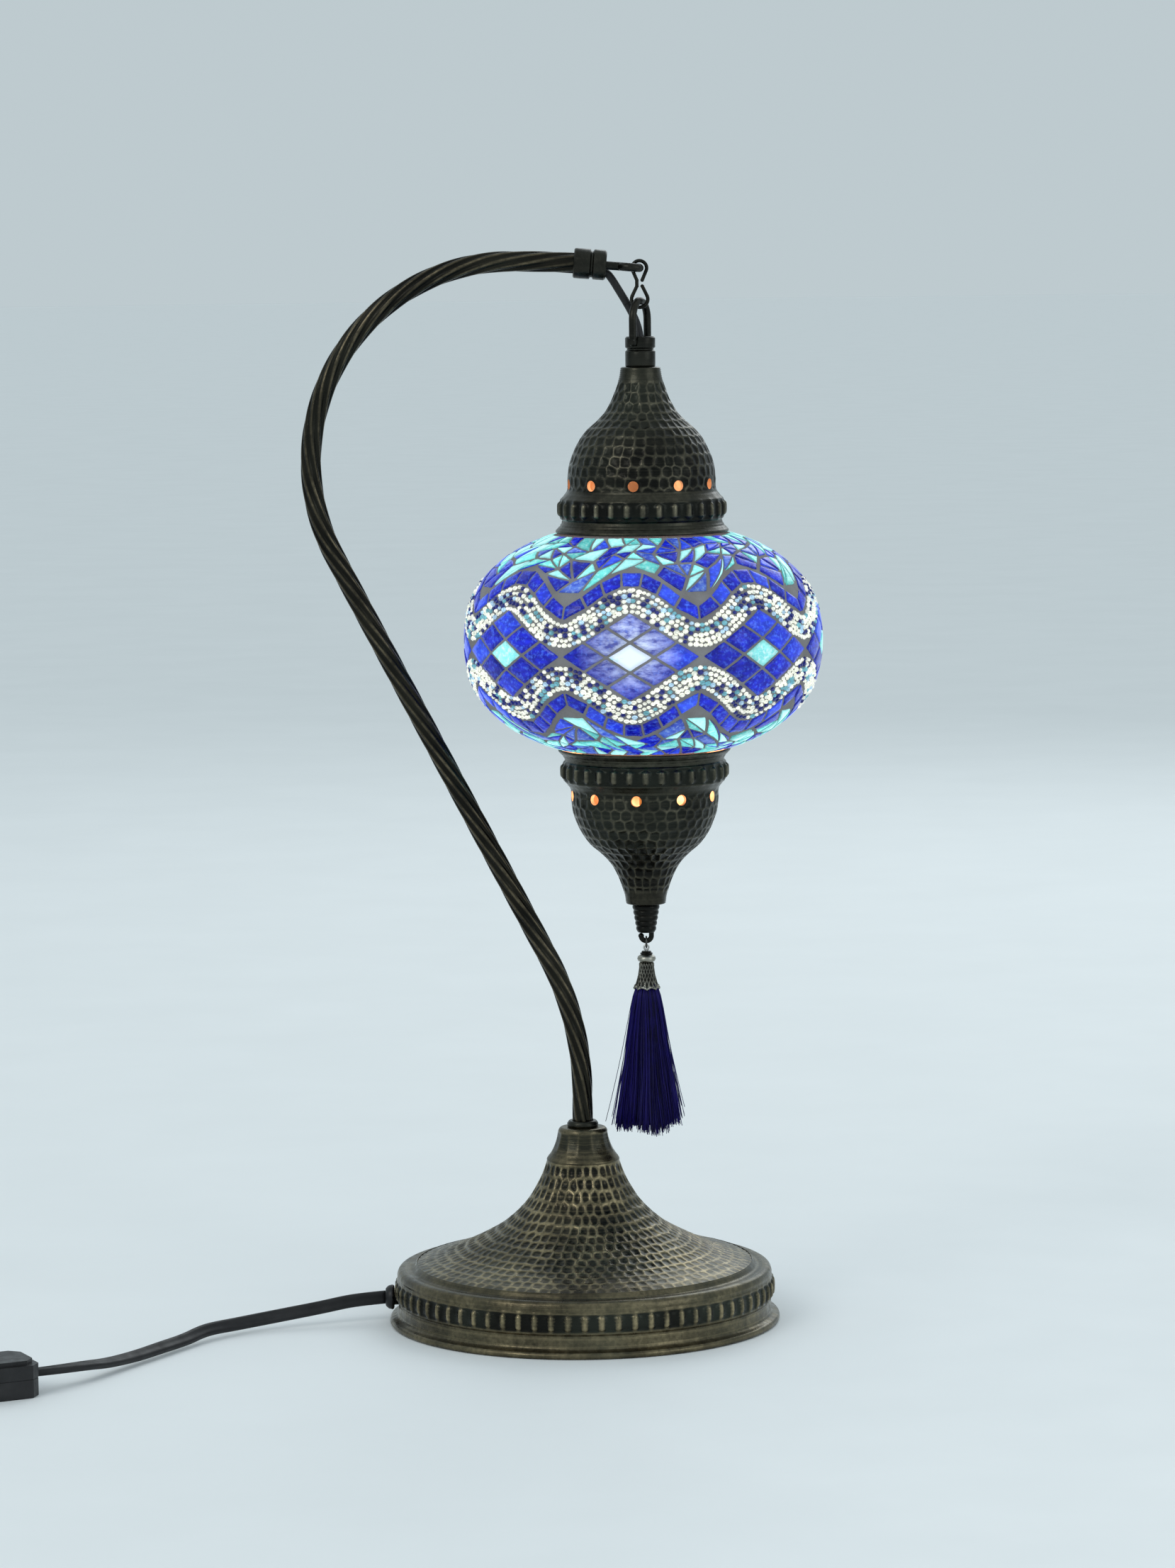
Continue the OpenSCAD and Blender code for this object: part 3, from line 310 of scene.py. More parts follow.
grout_paint = Paint("grout")
grit = grout_paint.noise(900, 5)
grout_tone = grout_paint.mix(grout_paint.remap(grout_paint.noise(70, 3), 0.4, 0.65),
                             (0.14, 0.135, 0.13), (0.19, 0.19, 0.19))
# Painted glow: the grout gives off a faint light of its own, standing in for the bulb's light.
grout_paint.set(Base_Color=grout_tone, Emission_Color=(0.22, 0.22, 0.25), Emission_Strength=0.2,
                Roughness=grout_paint.remap(grit, 0.3, 0.7, 0.75, 0.95))
grout_paint.bump(grit, 0.8, 0.0004)

bead_paint = Paint("seed_beads")
bead_tone = bead_paint.attribute("tint").outputs["Color"]
# Painted glow: each bead gives off light in its own colour, standing in for the bulb's light through it.
bead_paint.set(Base_Color=bead_tone, Emission_Color=bead_tone,
               Emission_Strength=bead_paint.remap(bead_paint.noise(500, 2), 0.3, 0.7, 0.35, 0.7),
               Roughness=bead_paint.remap(bead_paint.noise(900, 3), 0.3, 0.7, 0.08, 0.25), Coat_Weight=0.4)
bead_paint.bump(bead_paint.noise(1500, 2), 0.15, 0.0001)

silk_paint = Paint("silk")
silk_own = silk_paint.add("ShaderNodeNewGeometry").outputs["Random Per Island"]
silk_tone = silk_paint.mix(silk_own, (0.002, 0.001, 0.026), (0.010, 0.004, 0.15))
silk_fade = silk_paint.remap(silk_paint.noise(160), 0.45, 0.7, 0, 0.5)
silk_paint.set(Base_Color=silk_paint.mix(silk_fade, silk_tone, (0.010, 0.006, 0.15)),
               Roughness=silk_paint.remap(silk_paint.noise(400), 0.3, 0.7, 0.3, 0.5), Sheen_Weight=0.03,
               Anisotropic=0.5)
silk_paint.shader.inputs["Sheen Roughness"].default_value = 0.4
silk_paint.shader.inputs["Specular IOR Level"].default_value = 0.2
silk_paint.bump(silk_paint.noise(3000, 2), 0.3, 0.0001)


def lining_paint(name, strength, hot_z):
    """Inside of a cap, lit by the bulb: copper light that fades away from the globe."""
    p = Paint(name)
    far = p.distance((REACH * MM, 0.012, hot_z))
    tone = p.mix(p.remap(p.noise(160, 4), 0.35, 0.65), (0.75, 0.27, 0.09), (1.0, 0.52, 0.24))
    p.set(Base_Color=(0.5, 0.2, 0.08), Metallic=0.6, Roughness=0.4, Emission_Color=tone,
          Emission_Strength=p.maths("MULTIPLY", p.remap(p.noise(45, 2), 0.4, 0.6, 0.2, 1.0),
                                    p.remap(far, 0.01, 0.06, strength, strength * 0.3)))
    return p.mat


# ---------------------------------------------------------------- mesh helpers

def piece(name, points, faces, body, material, stands_for=(), values=None, tints=None):
    """Mesh from points in millimetres. values gives one number, and tints a colour, for each point."""
    mesh = bpy.data.meshes.new(name)
    corners = faces if isinstance(faces, list) else faces.tolist()
    mesh.from_pydata((np.asarray(points, float) * MM).tolist(), [], corners)
    mesh.materials.append(material)
    for key, numbers in (values or {}).items():
        layer = mesh.attributes.new(key, "FLOAT", "POINT")
        layer.data.foreach_set("value", np.asarray(numbers, np.float32).ravel())
    if tints is not None:
        full = np.ones((len(tints), 4), np.float32)
        full[:, :3] = tints
        mesh.attributes.new("tint", "FLOAT_COLOR", "POINT").data.foreach_set("color", full.ravel())
    mesh.shade_smooth()
    obj = bpy.data.objects.new(name, mesh)
    bpy.context.scene.collection.objects.link(obj)
    if body:
        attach(obj, body)
    if stands_for:
        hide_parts(*stands_for)
    return obj


def grid(rows, cols):
    """Quads over rows of points, each row a ring of cols points; rows run outwards or upwards."""
    i = np.arange(rows - 1)[:, None] * cols
    j = np.arange(cols)[None, :]
    k = (j + 1) % cols
    return np.stack([i + j, i + k, i + cols + k, i + cols + j], -1).reshape(-1, 4)


def smooth_line(points, steps=8):
    """Catmull-Rom curve through points."""
    p = np.asarray(points, float)
    out = []
    for i in range(len(p) - 1):
        a, b, c, d = p[max(i - 1, 0)], p[i], p[i + 1], p[min(i + 2, len(p) - 1)]
        for t in np.arange(steps) / steps:
            out.append(0.5 * (2 * b + (c - a) * t + (2 * a - 5 * b + 4 * c - d) * t * t
                              + (3 * b - a - 3 * c + d) * t ** 3))
    return np.array(out + [p[-1]])


def evenly(line, count):
    """The same line with count points at equal steps along it."""
    line = np.asarray(line, float)
    run = np.concatenate([[0], np.cumsum(np.linalg.norm(np.diff(line, axis=0), axis=1))])
    at = np.linspace(0, run[-1], count)
    return np.stack([np.interp(at, run, line[:, k]) for k in range(line.shape[1])], 1)


def run_length(line):
    return float(np.linalg.norm(np.diff(np.asarray(line, float), axis=0), axis=1).sum())


def ease(x, low, high):
    t = np.clip((x - low) / (high - low), 0, 1)
    return t * t * (3 - 2 * t)


def lathe(outline, cols, rows, shape, centre_x=0.0, lift=0.0, flip=1):
    """Ring surface from an outline of (radius, height). shape(run, radius, height, azimuths) gives how far
    each point of a ring moves out along the outline's normal, and its wear with painted highlight."""
    line = evenly(outline, rows)
    step = np.gradient(line, axis=0)
    normal = np.stack([step[:, 1], -step[:, 0]], 1) / np.linalg.norm(step, axis=1)[:, None]
    run = np.linspace(0, run_length(line), rows)
    az = np.arange(cols) * TAU / cols
    points, wear_and_highlight = [], []
    for s, (r, z), n in zip(run, line, normal):
        out, w = shape(s, r, z, az)
        radius, height = r + out * n[0], z + out * n[1]
        points.append(np.stack([centre_x + radius * np.cos(az), radius * np.sin(az),
                                lift + flip * height * np.ones(cols)], 1))
        wear_and_highlight.append(w * np.ones(cols))
    faces = grid(rows, cols)
    return np.concatenate(points), faces if flip > 0 else faces[:, ::-1], np.concatenate(wear_and_highlight)


def hammer_rings(total, radius_at, across, along):
    """Centres of hammer marks, as rings of (run, azimuth); across and along give a mark's size at a run."""
    rings, s, odd = [], along(0) * 0.4, 0
    while s < total + along(total):
        r = max(float(radius_at(min(s, total))), 2)
        count = max(6, round(TAU * r / across(s)))
        az = (np.arange(count) + 0.5 * odd + rng.uniform(-0.16, 0.16, count)) * TAU / count
        rings.append((s + rng.uniform(-0.14, 0.14, count) * along(s), az))
        s += along(s)
        odd = 1 - odd
    return rings


def hammered(rings, s, r, az, across, along):
    """For each point of a ring: millimetres to the nearest ridge between two marks, and share of the way out
    from the middle of its own mark, where 0.5 is about half a mark's width."""
    near = [(a, b) for a, b in rings if abs(a.mean() - s) < 2.3 * along]
    seeds_s = np.concatenate([a for a, b in near])
    seeds_az = np.concatenate([b for a, b in near])
    turn = (az[:, None] - seeds_az[None, :] + math.pi) % TAU - math.pi
    gap = ((s - seeds_s[None, :]) / along) ** 2 + (turn * r / across) ** 2
    first = np.partition(gap, 1, axis=1)[:, :2]
    return (first[:, 1] - first[:, 0]) / 2 * min(across, along), np.sqrt(first[:, 0])


def sweep(path, section, start_up, roll=(0, 0)):
    """Section (side, up) carried along a path; up starts near start_up and rolls through roll's angles."""
    path = np.asarray(path, float)
    section = np.asarray(section, float)
    ahead = np.gradient(path, axis=0)
    ahead /= np.linalg.norm(ahead, axis=1)[:, None]
    angles = np.radians(np.interp(np.linspace(0, 1, len(path)), np.linspace(0, 1, len(roll)), roll))
    points = []
    for p, f, angle in zip(path, ahead, angles):
        side = np.cross(f, start_up)
        side /= np.linalg.norm(side)
        up = np.cross(side, f)
        a = side * math.cos(angle) + up * math.sin(angle)
        b = up * math.cos(angle) - side * math.sin(angle)
        points.append(p + (section[:, :1] * a + section[:, 1:] * b))
    n, m = len(path), len(section)
    faces = grid(n, m).tolist() + [list(range(m))[::-1], [(n - 1) * m + j for j in range(m)]]
    return np.concatenate(points), faces


def circle(radius, count):
    a = np.arange(count) * TAU / count
    return np.stack([radius * np.cos(a), radius * np.sin(a)], 1)


# ---------------------------------------------------------------- cords, before anything slower

def flex_section():
    """Two cores side by side with a web between them."""
    half = [(1.45 + 1.55 * math.cos(a), 1.6 * math.sin(a)) for a in np.linspace(-2.1, 2.1, 10)]
    return half + [(-x, -y) for x, y in half]


cord_points = [(-90, 0, 11), (-105, -3, 10), (-120, -8, 8), (-138, -15, 6), (-155, -26, 5), (-168, -39, 5),
               (-177, -54, 4), (-186, -70, 4), (-196, -87, 4), (-206, -104, 5), (-215, -119, 7),
               (-225, -130, 8), (-236, -136, 8)]
lamp_side = evenly(smooth_line(cord_points), 110)
points, faces = sweep(lamp_side, flex_section(), (0, 0, 1), (90, 0))
supply = piece("supply_flex", points, faces, "stand", flex, ["supply_cord"])

tail_points = [(-294, -165, 8), (-305, -170, 7), (-318, -173, 5), (-332, -172, 4), (-346, -166, 4),
               (-358, -157, 4)]
plug_points = [(-391, -112, 9), (-395, -98, 9), (-397, -84, 8), (-396, -70, 7), (-392, -56, 7)]
# Six turns that wind inwards in a lower layer and outwards again in an upper one
COIL_X, COIL_Y, COIL_R, COIL_SPREAD = -350, -110, 30.7, 9.6
COIL_FROM, COIL_TO = 238.0, 186.0 - 6 * 360
coil = []
for share in np.linspace(0, 1, 150):
    angle = math.radians(COIL_FROM + (COIL_TO - COIL_FROM) * share)
    radius = COIL_R + COIL_SPREAD * abs(2 * share - 1) + 0.25 * math.sin(3.1 * angle)
    height = 3.3 + 6.1 * ease(share, 0.44, 0.56) + 0.25 * math.sin(1.7 * angle) ** 2
    coil.append((COIL_X + radius * math.cos(angle), COIL_Y + radius * math.sin(angle), height))
whole = smooth_line(tail_points + coil + plug_points, 6)
MAINS_ROWS = 620
mains_side = evenly(whole, MAINS_ROWS)
total = run_length(whole)
run = np.linspace(0, total, MAINS_ROWS)
roll = 90 * ease(run, 10, 90) * (1 - ease(run, total - 60, total - 5))
points, faces = sweep(mains_side, flex_section(), (0, 0, 1), roll)
mains = piece("mains_flex", points, faces, "stand", flex, ["tail_cord", "cord_coil", "plug_cord"])

eye = np.array([REACH, 0, EYE_Z])
upper_lead = [(-29.5, 3, -0.3), (-21, 3, -1.0), (-15, 3, -2.0), (-12.4, 3.2, -4.6), (-9.4, 3.6, -9.4),
              (-6.4, 3.8, -14.4), (-5.5, 3.75, -16)]
lower_lead = [(-5.9, 3.8, -15.3), (-4.4, 3.6, -18), (-2.2, 2.6, -22.6), (-0.6, 1.1, -27.6), (0, 0, -32.6),
              (0, 0, -40), (0, 0, -46)]


def lead(name, offsets):
    """Half of the hanging lead, given as offsets from the arm's eye."""
    path = evenly(smooth_line(eye + np.array(offsets)), 40)
    points, faces = sweep(path, circle(LEAD_D / 2, 14), (0, 1, 0))
    obj = piece(name, points, faces, None, flex, ["hanging_lead"])
    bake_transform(obj)


lead("hanging_lead_upper", upper_lead)
lead("hanging_lead_lower", lower_lead)


# ---------------------------------------------------------------- floor

FLOOR_RADII = (10, 3000, 40000)
floor_points = np.concatenate([np.pad(circle(r, 64), ((0, 0), (0, 1))) for r in FLOOR_RADII])
floor_faces = grid(len(FLOOR_RADII), 64).tolist() + [list(range(64))]
floor = piece("floor", floor_points, floor_faces, None, floor_paint)


# ---------------------------------------------------------------- base

band_line = smooth_line([(83, 8), (83.4, 3.4), (85.2, 0.7), (86.6, 0.1), (87.7, 0.5), (88, 1.6), (87.4, 2.8),
                         (85.4, 3.6), (84.4, 4.6), (84.2, 6), (84.1, 9.6), (84.6, 10.6), (85.4, 12.4),
                         (85.7, 15.2), (85.4, 18), (84.6, 19.8), (84.5, 22.0), (83.8, 23.8), (82.3, 24.7),
                         (80, 24.7), (78.4, 24.5), (77.2, 25.0), (76.4, 26.2), (75.6, 27.1)], 6)
BAND_BARS, BAND_BARS_Z = 72, 15.2
BUSH_AZ, BUSH_Z = math.pi, 11
GROOVE_HALF = 4.6


def raised_bars(az, r, dz, count, half, width):
    """Shares, from 0 to 1, of a ring of count round-ended bars and of the groove that they stand in, for
    points dz above the middle of the ring."""
    x = ((az * count / TAU + 0.5) % 1 - 0.5) * TAU * r / count
    bar = np.exp(-(np.hypot(x, max(abs(dz) - half, 0)) / width) ** 2)
    return bar, float(ease(GROOVE_HALF - abs(dz), 0, 1.4))


def band_shape(s, r, z, az):
    if s < 9 or r < 83.5:
        return 0 * az, 0.3 + 0 * az
    clear_of_bush = ease(np.hypot((az - BUSH_AZ) * r, z - BUSH_Z), 5.5, 8)
    bar, pit = raised_bars(az, r, z - BAND_BARS_Z, BAND_BARS, 2.4, 1.55)
    bar, pit = bar * clear_of_bush, pit * clear_of_bush
    turned_line = 0.16 * sum(math.exp(-((z - line_z) / 0.35) ** 2) for line_z in (20.9, 9.3))
    out = 1.35 * bar - 1.0 * pit - turned_line
    # Raised bars brighter, partly rubbed wear and partly painted highlight; darker in the groove.
    wear_and_highlight = 0.42 * (1 - pit) + 1.15 * bar ** 1.5 - 0.6 * pit * (1 - bar)
    return out, wear_and_highlight


points, faces, wear_and_highlight = lathe(band_line, 720, 120, band_shape)
piece("base_band", points, faces, "stand", base_metal, ["base_shell"], values={"wear_and_highlight": wear_and_highlight})

bell_line = smooth_line([(75.8, 26.9), (65, 30.3), (55, 34), (40.5, 41.5), (32.9, 47), (26.2, 53.7), (22, 60),
                         (18.6, 66.5), (16.2, 73.2)], 8)
bell_total = run_length(bell_line)
bell_run = np.linspace(0, bell_total, 200)
bell_radius = evenly(bell_line, 200)[:, 0]


def bell_across(s):
    return 5.2 - 1.7 * min(max(s / bell_total, 0), 1)


def bell_along(s):
    return 4.7 + 1.3 * min(max(s / bell_total, 0), 1)


bell_rings = hammer_rings(bell_total, lambda s: np.interp(s, bell_run, bell_radius), bell_across, bell_along)


def bell_shape(s, r, z, az):
    e, f = hammered(bell_rings, s, r, az, bell_across(s), bell_along(s))
    strength = 0.35 + 0.65 * float(ease(s, 3, 26))
    out = -0.55 * strength * np.sin(np.clip(e / 2.0, 0, 1) * math.pi / 2)
    fade = float(ease(s, bell_total - 2.5, bell_total))
    # Brighter on the ridges between hammer marks, partly wear and partly painted highlight.
    return out * (1 - fade), 0.8 * ease(f + 0.25 * np.exp(-(e / 0.5) ** 2), 0.36, 0.62) + 0.2 * (1 - strength)


points, faces, wear_and_highlight = lathe(bell_line, 640, 150, bell_shape)
piece("base_bell", points, faces, "stand", base_metal, ["base_shell"], values={"wear_and_highlight": wear_and_highlight})

collar_line = smooth_line([(16.2, 72.8), (16.4, 73.5), (15.8, 74.6), (14.6, 76.2), (13.4, 78.4),
                           (12.4, 80.8), (11.7, 83.2), (11.3, 85.2), (11.0, 86.6), (10.4, 87.5), (9.3, 88),
                           (4.7, 88.05)], 8)


def collar_shape(s, r, z, az):
    facet = np.abs(np.cos(az * 6.5 + 0.35 * np.sin(az * 3)))
    tall = ease(z, 76.5, 79) * ease(-z, -86.5, -85.2)
    # Brighter at the crests of the facets, partly wear and partly painted highlight.
    return -0.35 * tall * facet, 0.04 + 0.3 * (1 - tall) + tall * 0.12 * np.exp(-(facet / 0.3) ** 2)


points, faces, wear_and_highlight = lathe(collar_line, 180, 90, collar_shape)
piece("base_collar", points, faces, "stand", base_metal, ["base_shell"], values={"wear_and_highlight": wear_and_highlight})


# ---------------------------------------------------------------- arm

BASE_H, STEM_RISE, STEM_BELOW = 88.0, 16.0, 12.0
BEND_R, ARCH_R, TIP_R, TIP_DROP = 135.0, 89.0, 410.0, math.radians(5)
LEAN, LEAN_LEN = math.radians(27.152), 203.167
ARCH_X, ARCH_Z = -28.3992, 387.0
TUBE_R = 4.6

bend_z = BASE_H + STEM_RISE
arm = [(0, BASE_H - STEM_BELOW), (0, bend_z)]
arm += [(-BEND_R + BEND_R * math.cos(a), bend_z + BEND_R * math.sin(a)) for a in np.linspace(0, LEAN, 60)[1:]]
last = arm[-1]
arm.append((last[0] - LEAN_LEN * math.sin(LEAN), last[1] + LEAN_LEN * math.cos(LEAN)))
arm += [(ARCH_X + ARCH_R * math.cos(a), ARCH_Z + ARCH_R * math.sin(a))
        for a in np.linspace(math.pi + LEAN, math.pi / 2, 160)[1:]]
arm += [(ARCH_X + TIP_R * math.cos(a), ARCH_Z + ARCH_R - TIP_R + TIP_R * math.sin(a))
        for a in np.linspace(math.pi / 2, math.pi / 2 - TIP_DROP, 20)[1:]]
ROWS, SIDES = 600, 96
STRANDS, TWIST, FLUTE_DEPTH = 8, 0.045, 0.85
arm = evenly(arm, ROWS)
ahead = np.gradient(arm, axis=0)
ahead /= np.linalg.norm(ahead, axis=1)[:, None]
run = np.linspace(0, run_length(arm), ROWS)
theta = np.arange(SIDES) * TAU / SIDES
crest = np.abs(np.cos(STRANDS * (theta[None, :] + TWIST * run[:, None]) / 2))
radius = TUBE_R - FLUTE_DEPTH * (1 - crest ** 0.55)
side = np.stack([ahead[:, 1], 0 * run, -ahead[:, 0]], 1)
points = (np.stack([arm[:, 0], 0 * run, arm[:, 1]], 1)[:, None, :]
          + radius[..., None] * (np.cos(theta)[None, :, None] * side[:, None, :]
                                 + np.sin(theta)[None, :, None] * np.array([0, 1, 0])))
# Strand crests brighter, partly wear and partly painted highlight.
wear_and_highlight = ease(crest, 0.82, 1.0) * 0.55
piece("arm_rope", points.reshape(-1, 3), grid(ROWS, SIDES), "stand", arm_metal, ["arm_tube"],
      values={"wear_and_highlight": wear_and_highlight})


# ---------------------------------------------------------------- caps

cap_line = smooth_line([(38.0, -0.1), (38.5, 0.1), (38.4, 1), (36.8, 2.6), (35.7, 4.6), (35.6, 5.4),
                        (36.4, 6.4), (37.0, 8.4), (37.1, 10.4), (37.0, 12.4), (36.3, 14.4), (35.3, 15.6),
                        (34.4, 16.8), (33.3, 18.4), (33, 21), (33, 24), (32.2, 30), (30.1, 36), (27.4, 41.2),
                        (24.2, 45.3), (19.7, 49.3), (15.6, 53.9), (12.6, 59.6), (10.2, 66.2), (9.3, 69.4),
                        (8.9, 72.2), (8.3, 73), (4.2, 73.05)], 6)
CAP_LINE_H = 73
CAP_BARS, CAP_BARS_Z = 32, 10.4
MARK_ALONG = 4.8
HOLES, HOLE_R, HOLE_Z = 10, 2.35, 21.5
WALL_R, LINING_R, LINING_INSET = 33.0, 31.1, 1.8
hole_az = (np.arange(HOLES) + 0.3) * TAU / HOLES


def turn_from(az, middle):
    """Smallest signed angle from middle to each azimuth."""
    return (az - middle + math.pi) % TAU - math.pi


def cap_surface(height, low_z, flip, cols, rows, inset):
    """Points, faces, and wear with painted highlight, of a cap's wall, with the light holes cut; inset moves
    it inwards.
    """
    stretch = height / CAP_LINE_H
    line = cap_line * [1, stretch]
    total = run_length(line)
    at_run, radii = np.linspace(0, total, 200), evenly(line, 200)[:, 0]

    def radius_at(s):
        return float(np.interp(s, at_run, radii))

    def across(s):
        return 2.9 + 2.1 * min(radius_at(s) / WALL_R, 1)
    rings = [] if inset else hammer_rings(total, radius_at, across, lambda s: MARK_ALONG)

    def shape(s, r, z, az):
        if inset:
            return -inset + 0 * az, 0 * az
        zz = z / stretch
        bar, pit = raised_bars(az, r, zz - CAP_BARS_Z, CAP_BARS, 2.0, 1.7)
        away = np.min([np.hypot(turn_from(az, h) * r, zz - HOLE_Z) for h in hole_az], axis=0)
        open_area = float(ease(zz, 18.5, 20) * ease(-zz, -68, -65.5)) * ease(away, 2.6, 4.4)
        e, f = hammered(rings, s, r, az, across(s), MARK_ALONG)
        out = 1.5 * bar - 0.8 * pit - 0.5 * open_area * np.sin(np.clip(e / 1.9, 0, 1) * math.pi / 2)
        if zz > 66.5 and r > 8.6:
            out = out - 0.18 * math.sin(zz * 7)
        if 2 < zz < 5.4:
            out = out - 0.12 * math.sin(zz * 5)
        # Brighter on the ridges between hammer marks and on the raised bars, partly wear and partly painted
        # highlight; darker in the groove.
        ridge = ease(f + 0.18 * np.exp(-(e / 0.35) ** 2), 0.42, 0.68)
        plain = 0.16 if zz < 5.4 or 14.5 < zz < 18.8 or zz > 66 else 0
        return out, 0.34 * open_area * ridge + 0.85 * bar ** 2 - 0.35 * pit * (1 - bar) + plain

    points, faces, wear_and_highlight = lathe(line, cols, rows, shape, REACH, low_z, flip)
    az, r = np.arctan2(points[:, 1], points[:, 0] - REACH), np.hypot(points[:, 0] - REACH, points[:, 1])
    height_at = flip * (points[:, 2] - low_z) / stretch
    offsets = [(h, turn_from(az, h) * r, (height_at - HOLE_Z) * stretch) for h in hole_az]
    inside = np.any([(np.hypot(u, v) < HOLE_R) & (r > 20) for h, u, v in offsets], axis=0)
    keep = ~inside[faces].all(axis=1)
    edge = np.zeros(len(points), bool)
    edge[faces[keep].ravel()] = True
    edge &= inside
    for h, u, v in offsets:
        d = np.hypot(u, v)
        pick = edge & (d < HOLE_R) & (r > 20)
        k = HOLE_R / d[pick]
        new_az = h + u[pick] * k / r[pick]
        points[pick, 0] = REACH + r[pick] * np.cos(new_az)
        points[pick, 1] = r[pick] * np.sin(new_az)
        points[pick, 2] = low_z + flip * stretch * (HOLE_Z + v[pick] * k / stretch)
    return points, faces[keep], wear_and_highlight


def cap(name, node, height, low_z, flip, glow):
    """A cap's outside, and its inside with a tube through the wall at each light hole."""
    points, faces, wear_and_highlight = cap_surface(height, low_z, flip, 448, 196, 0)
    piece(name, points, faces, "pendant", dark_metal, [node], values={"wear_and_highlight": wear_and_highlight})
    points, faces, wear_and_highlight = cap_surface(height, low_z, flip, 200, 84, LINING_INSET)
    rim_points, rim_faces = [], []
    for h in hole_az:
        first = len(points) + len(rim_points)
        for r in (LINING_R, WALL_R):
            for a in np.arange(20) * TAU / 20:
                t = h + HOLE_R * math.cos(a) / r
                rim_points.append((REACH + r * math.cos(t), r * math.sin(t),
                                   low_z + flip * (HOLE_Z * height / CAP_LINE_H + HOLE_R * math.sin(a))))
        rim_faces += (first + grid(2, 20)).tolist()
    lit = lining_paint(name + "_light", glow, (low_z + flip * 14) * MM)
    piece(name + "_lining", np.concatenate([points, rim_points]), faces[:, ::-1].tolist() + rim_faces,
          "pendant", lit, [node])


cap("upper_cap", "top_cap", CAP_H, GLOBE_TOP, 1, 1.6)
cap("lower_cap", "bottom_cap", BOTTOM_CAP_H, GLOBE_LOW, -1, 3.6)


# ---------------------------------------------------------------- mosaic

def skin_radius(h):
    return GLOBE_R * (1 - np.minimum(np.abs(h) / GLOBE_HALF, 1) ** GLASS_POWER) ** (1 / GLASS_POWER)


def on_skin(az, h, out):
    """Point of the globe at an azimuth and height, moved out from the tiles' outer face."""
    r = skin_radius(h)
    u = (r / GLOBE_R) ** (GLASS_POWER - 1) / GLOBE_R
    v = np.sign(h) * (np.abs(h) / GLOBE_HALF) ** (GLASS_POWER - 1) / GLOBE_HALF
    size = np.hypot(u, v)
    radius = r + out * u / size
    return np.stack([REACH + radius * np.cos(az), radius * np.sin(az), GLOBE_Z + h + out * v / size], -1)


GROUT_OUT = -0.42
heights = GLOBE_HALF * 0.955 * np.sin(np.linspace(-math.pi / 2, math.pi / 2, 120))
az = np.arange(300) * TAU / 300
ripple = 0.10 * np.sin(az * 61)[None, :] * np.sin(np.arange(120) * 1.3)[:, None]
points = on_skin(az[None, :] + 0 * heights[:, None], heights[:, None] + 0 * az[None, :], GROUT_OUT + ripple)
piece("grout_skin", points.reshape(-1, 3), grid(120, 300), "pendant", grout_paint.mat, ["grout_layer"])


def tile_corners(node):
    """Outer corners of each tile of a CAD node, as arrays of (azimuth, height above the globe's middle)."""
    mesh = nodes[node].data
    place = np.array([v.co for v in mesh.vertices]) / MM
    unique, index = np.unique(np.round(place, 2), axis=0, return_inverse=True)
    index = index.ravel()
    parent = list(range(len(unique)))

    def root(i):
        while parent[i] != i:
            parent[i] = parent[parent[i]]
            i = parent[i]
        return i
    for face in mesh.polygons:
        first = root(index[face.vertices[0]])
        for v in face.vertices[1:]:
            parent[root(index[v])] = first
    groups = {}
    for i in range(len(unique)):
        groups.setdefault(root(i), []).append(i)
    found = []
    for members in groups.values():
        p = unique[members] - [REACH, 0, GLOBE_Z]
        r = np.hypot(p[:, 0], p[:, 1])
        sure = p[np.argsort(skin_radius(p[:, 2]) - r)][: len(p) // 2]
        az = np.arctan2(sure[:, 1], sure[:, 0])
        az = az[0] + (az - az[0] + math.pi) % TAU - math.pi
        mid_az, mid_h = az.mean(), sure[:, 2].mean()
        order = np.argsort(np.arctan2(sure[:, 2] - mid_h, (az - mid_az) * 70))
        found.append(np.stack([az[order], sure[order, 2]], 1))
    return found


def cut_tile(corners, first):
    """One hand-cut tile: uneven edges, small chamfer, and its own slight tilt."""
    n = len(corners)
    middle = corners.mean(axis=0)
    ends = np.roll(corners, -1, axis=0)
    edge = np.concatenate([[corners[i] + t * (ends[i] - corners[i]) for t in (0.035, 0.25, 0.5, 0.75, 0.965)]
                           for i in range(n)])
    r = float(skin_radius(middle[1]))
    size = np.hypot((edge[:, 0] - middle[0]) * r, edge[:, 1] - middle[1])
    edge = middle + (edge - middle) * (1 + rng.uniform(-0.16, 0.12, len(edge)) / size)[:, None]
    tilt = rng.uniform(-0.022, 0.022, 2)
    mean_size = float(size.mean())
    rings = [(1.0, -1.6, 0.0), (1.0, -0.28, 0.0), (1 - 0.26 / mean_size, 0.0, 0.3), (0.6, 0.06, 1.0)]
    points, inner = [], []
    for k, out, share in rings + [(0.0, 0.1, 1.0)]:
        ring = middle + k * (edge - middle) if k else middle[None, :]
        lift = tilt[0] * (ring[:, 0] - middle[0]) * r + tilt[1] * (ring[:, 1] - middle[1])
        points.append(on_skin(ring[:, 0], ring[:, 1], out + (lift if out > -1 else 0 * lift)))
        inner += [share] * len(ring)
    m = len(edge)
    faces = (first + grid(len(rings), m)).tolist()
    top = first + (len(rings) - 1) * m
    faces += [[top + i, top + (i + 1) % m, top + m] for i in range(m)]
    return np.concatenate(points), faces, inner


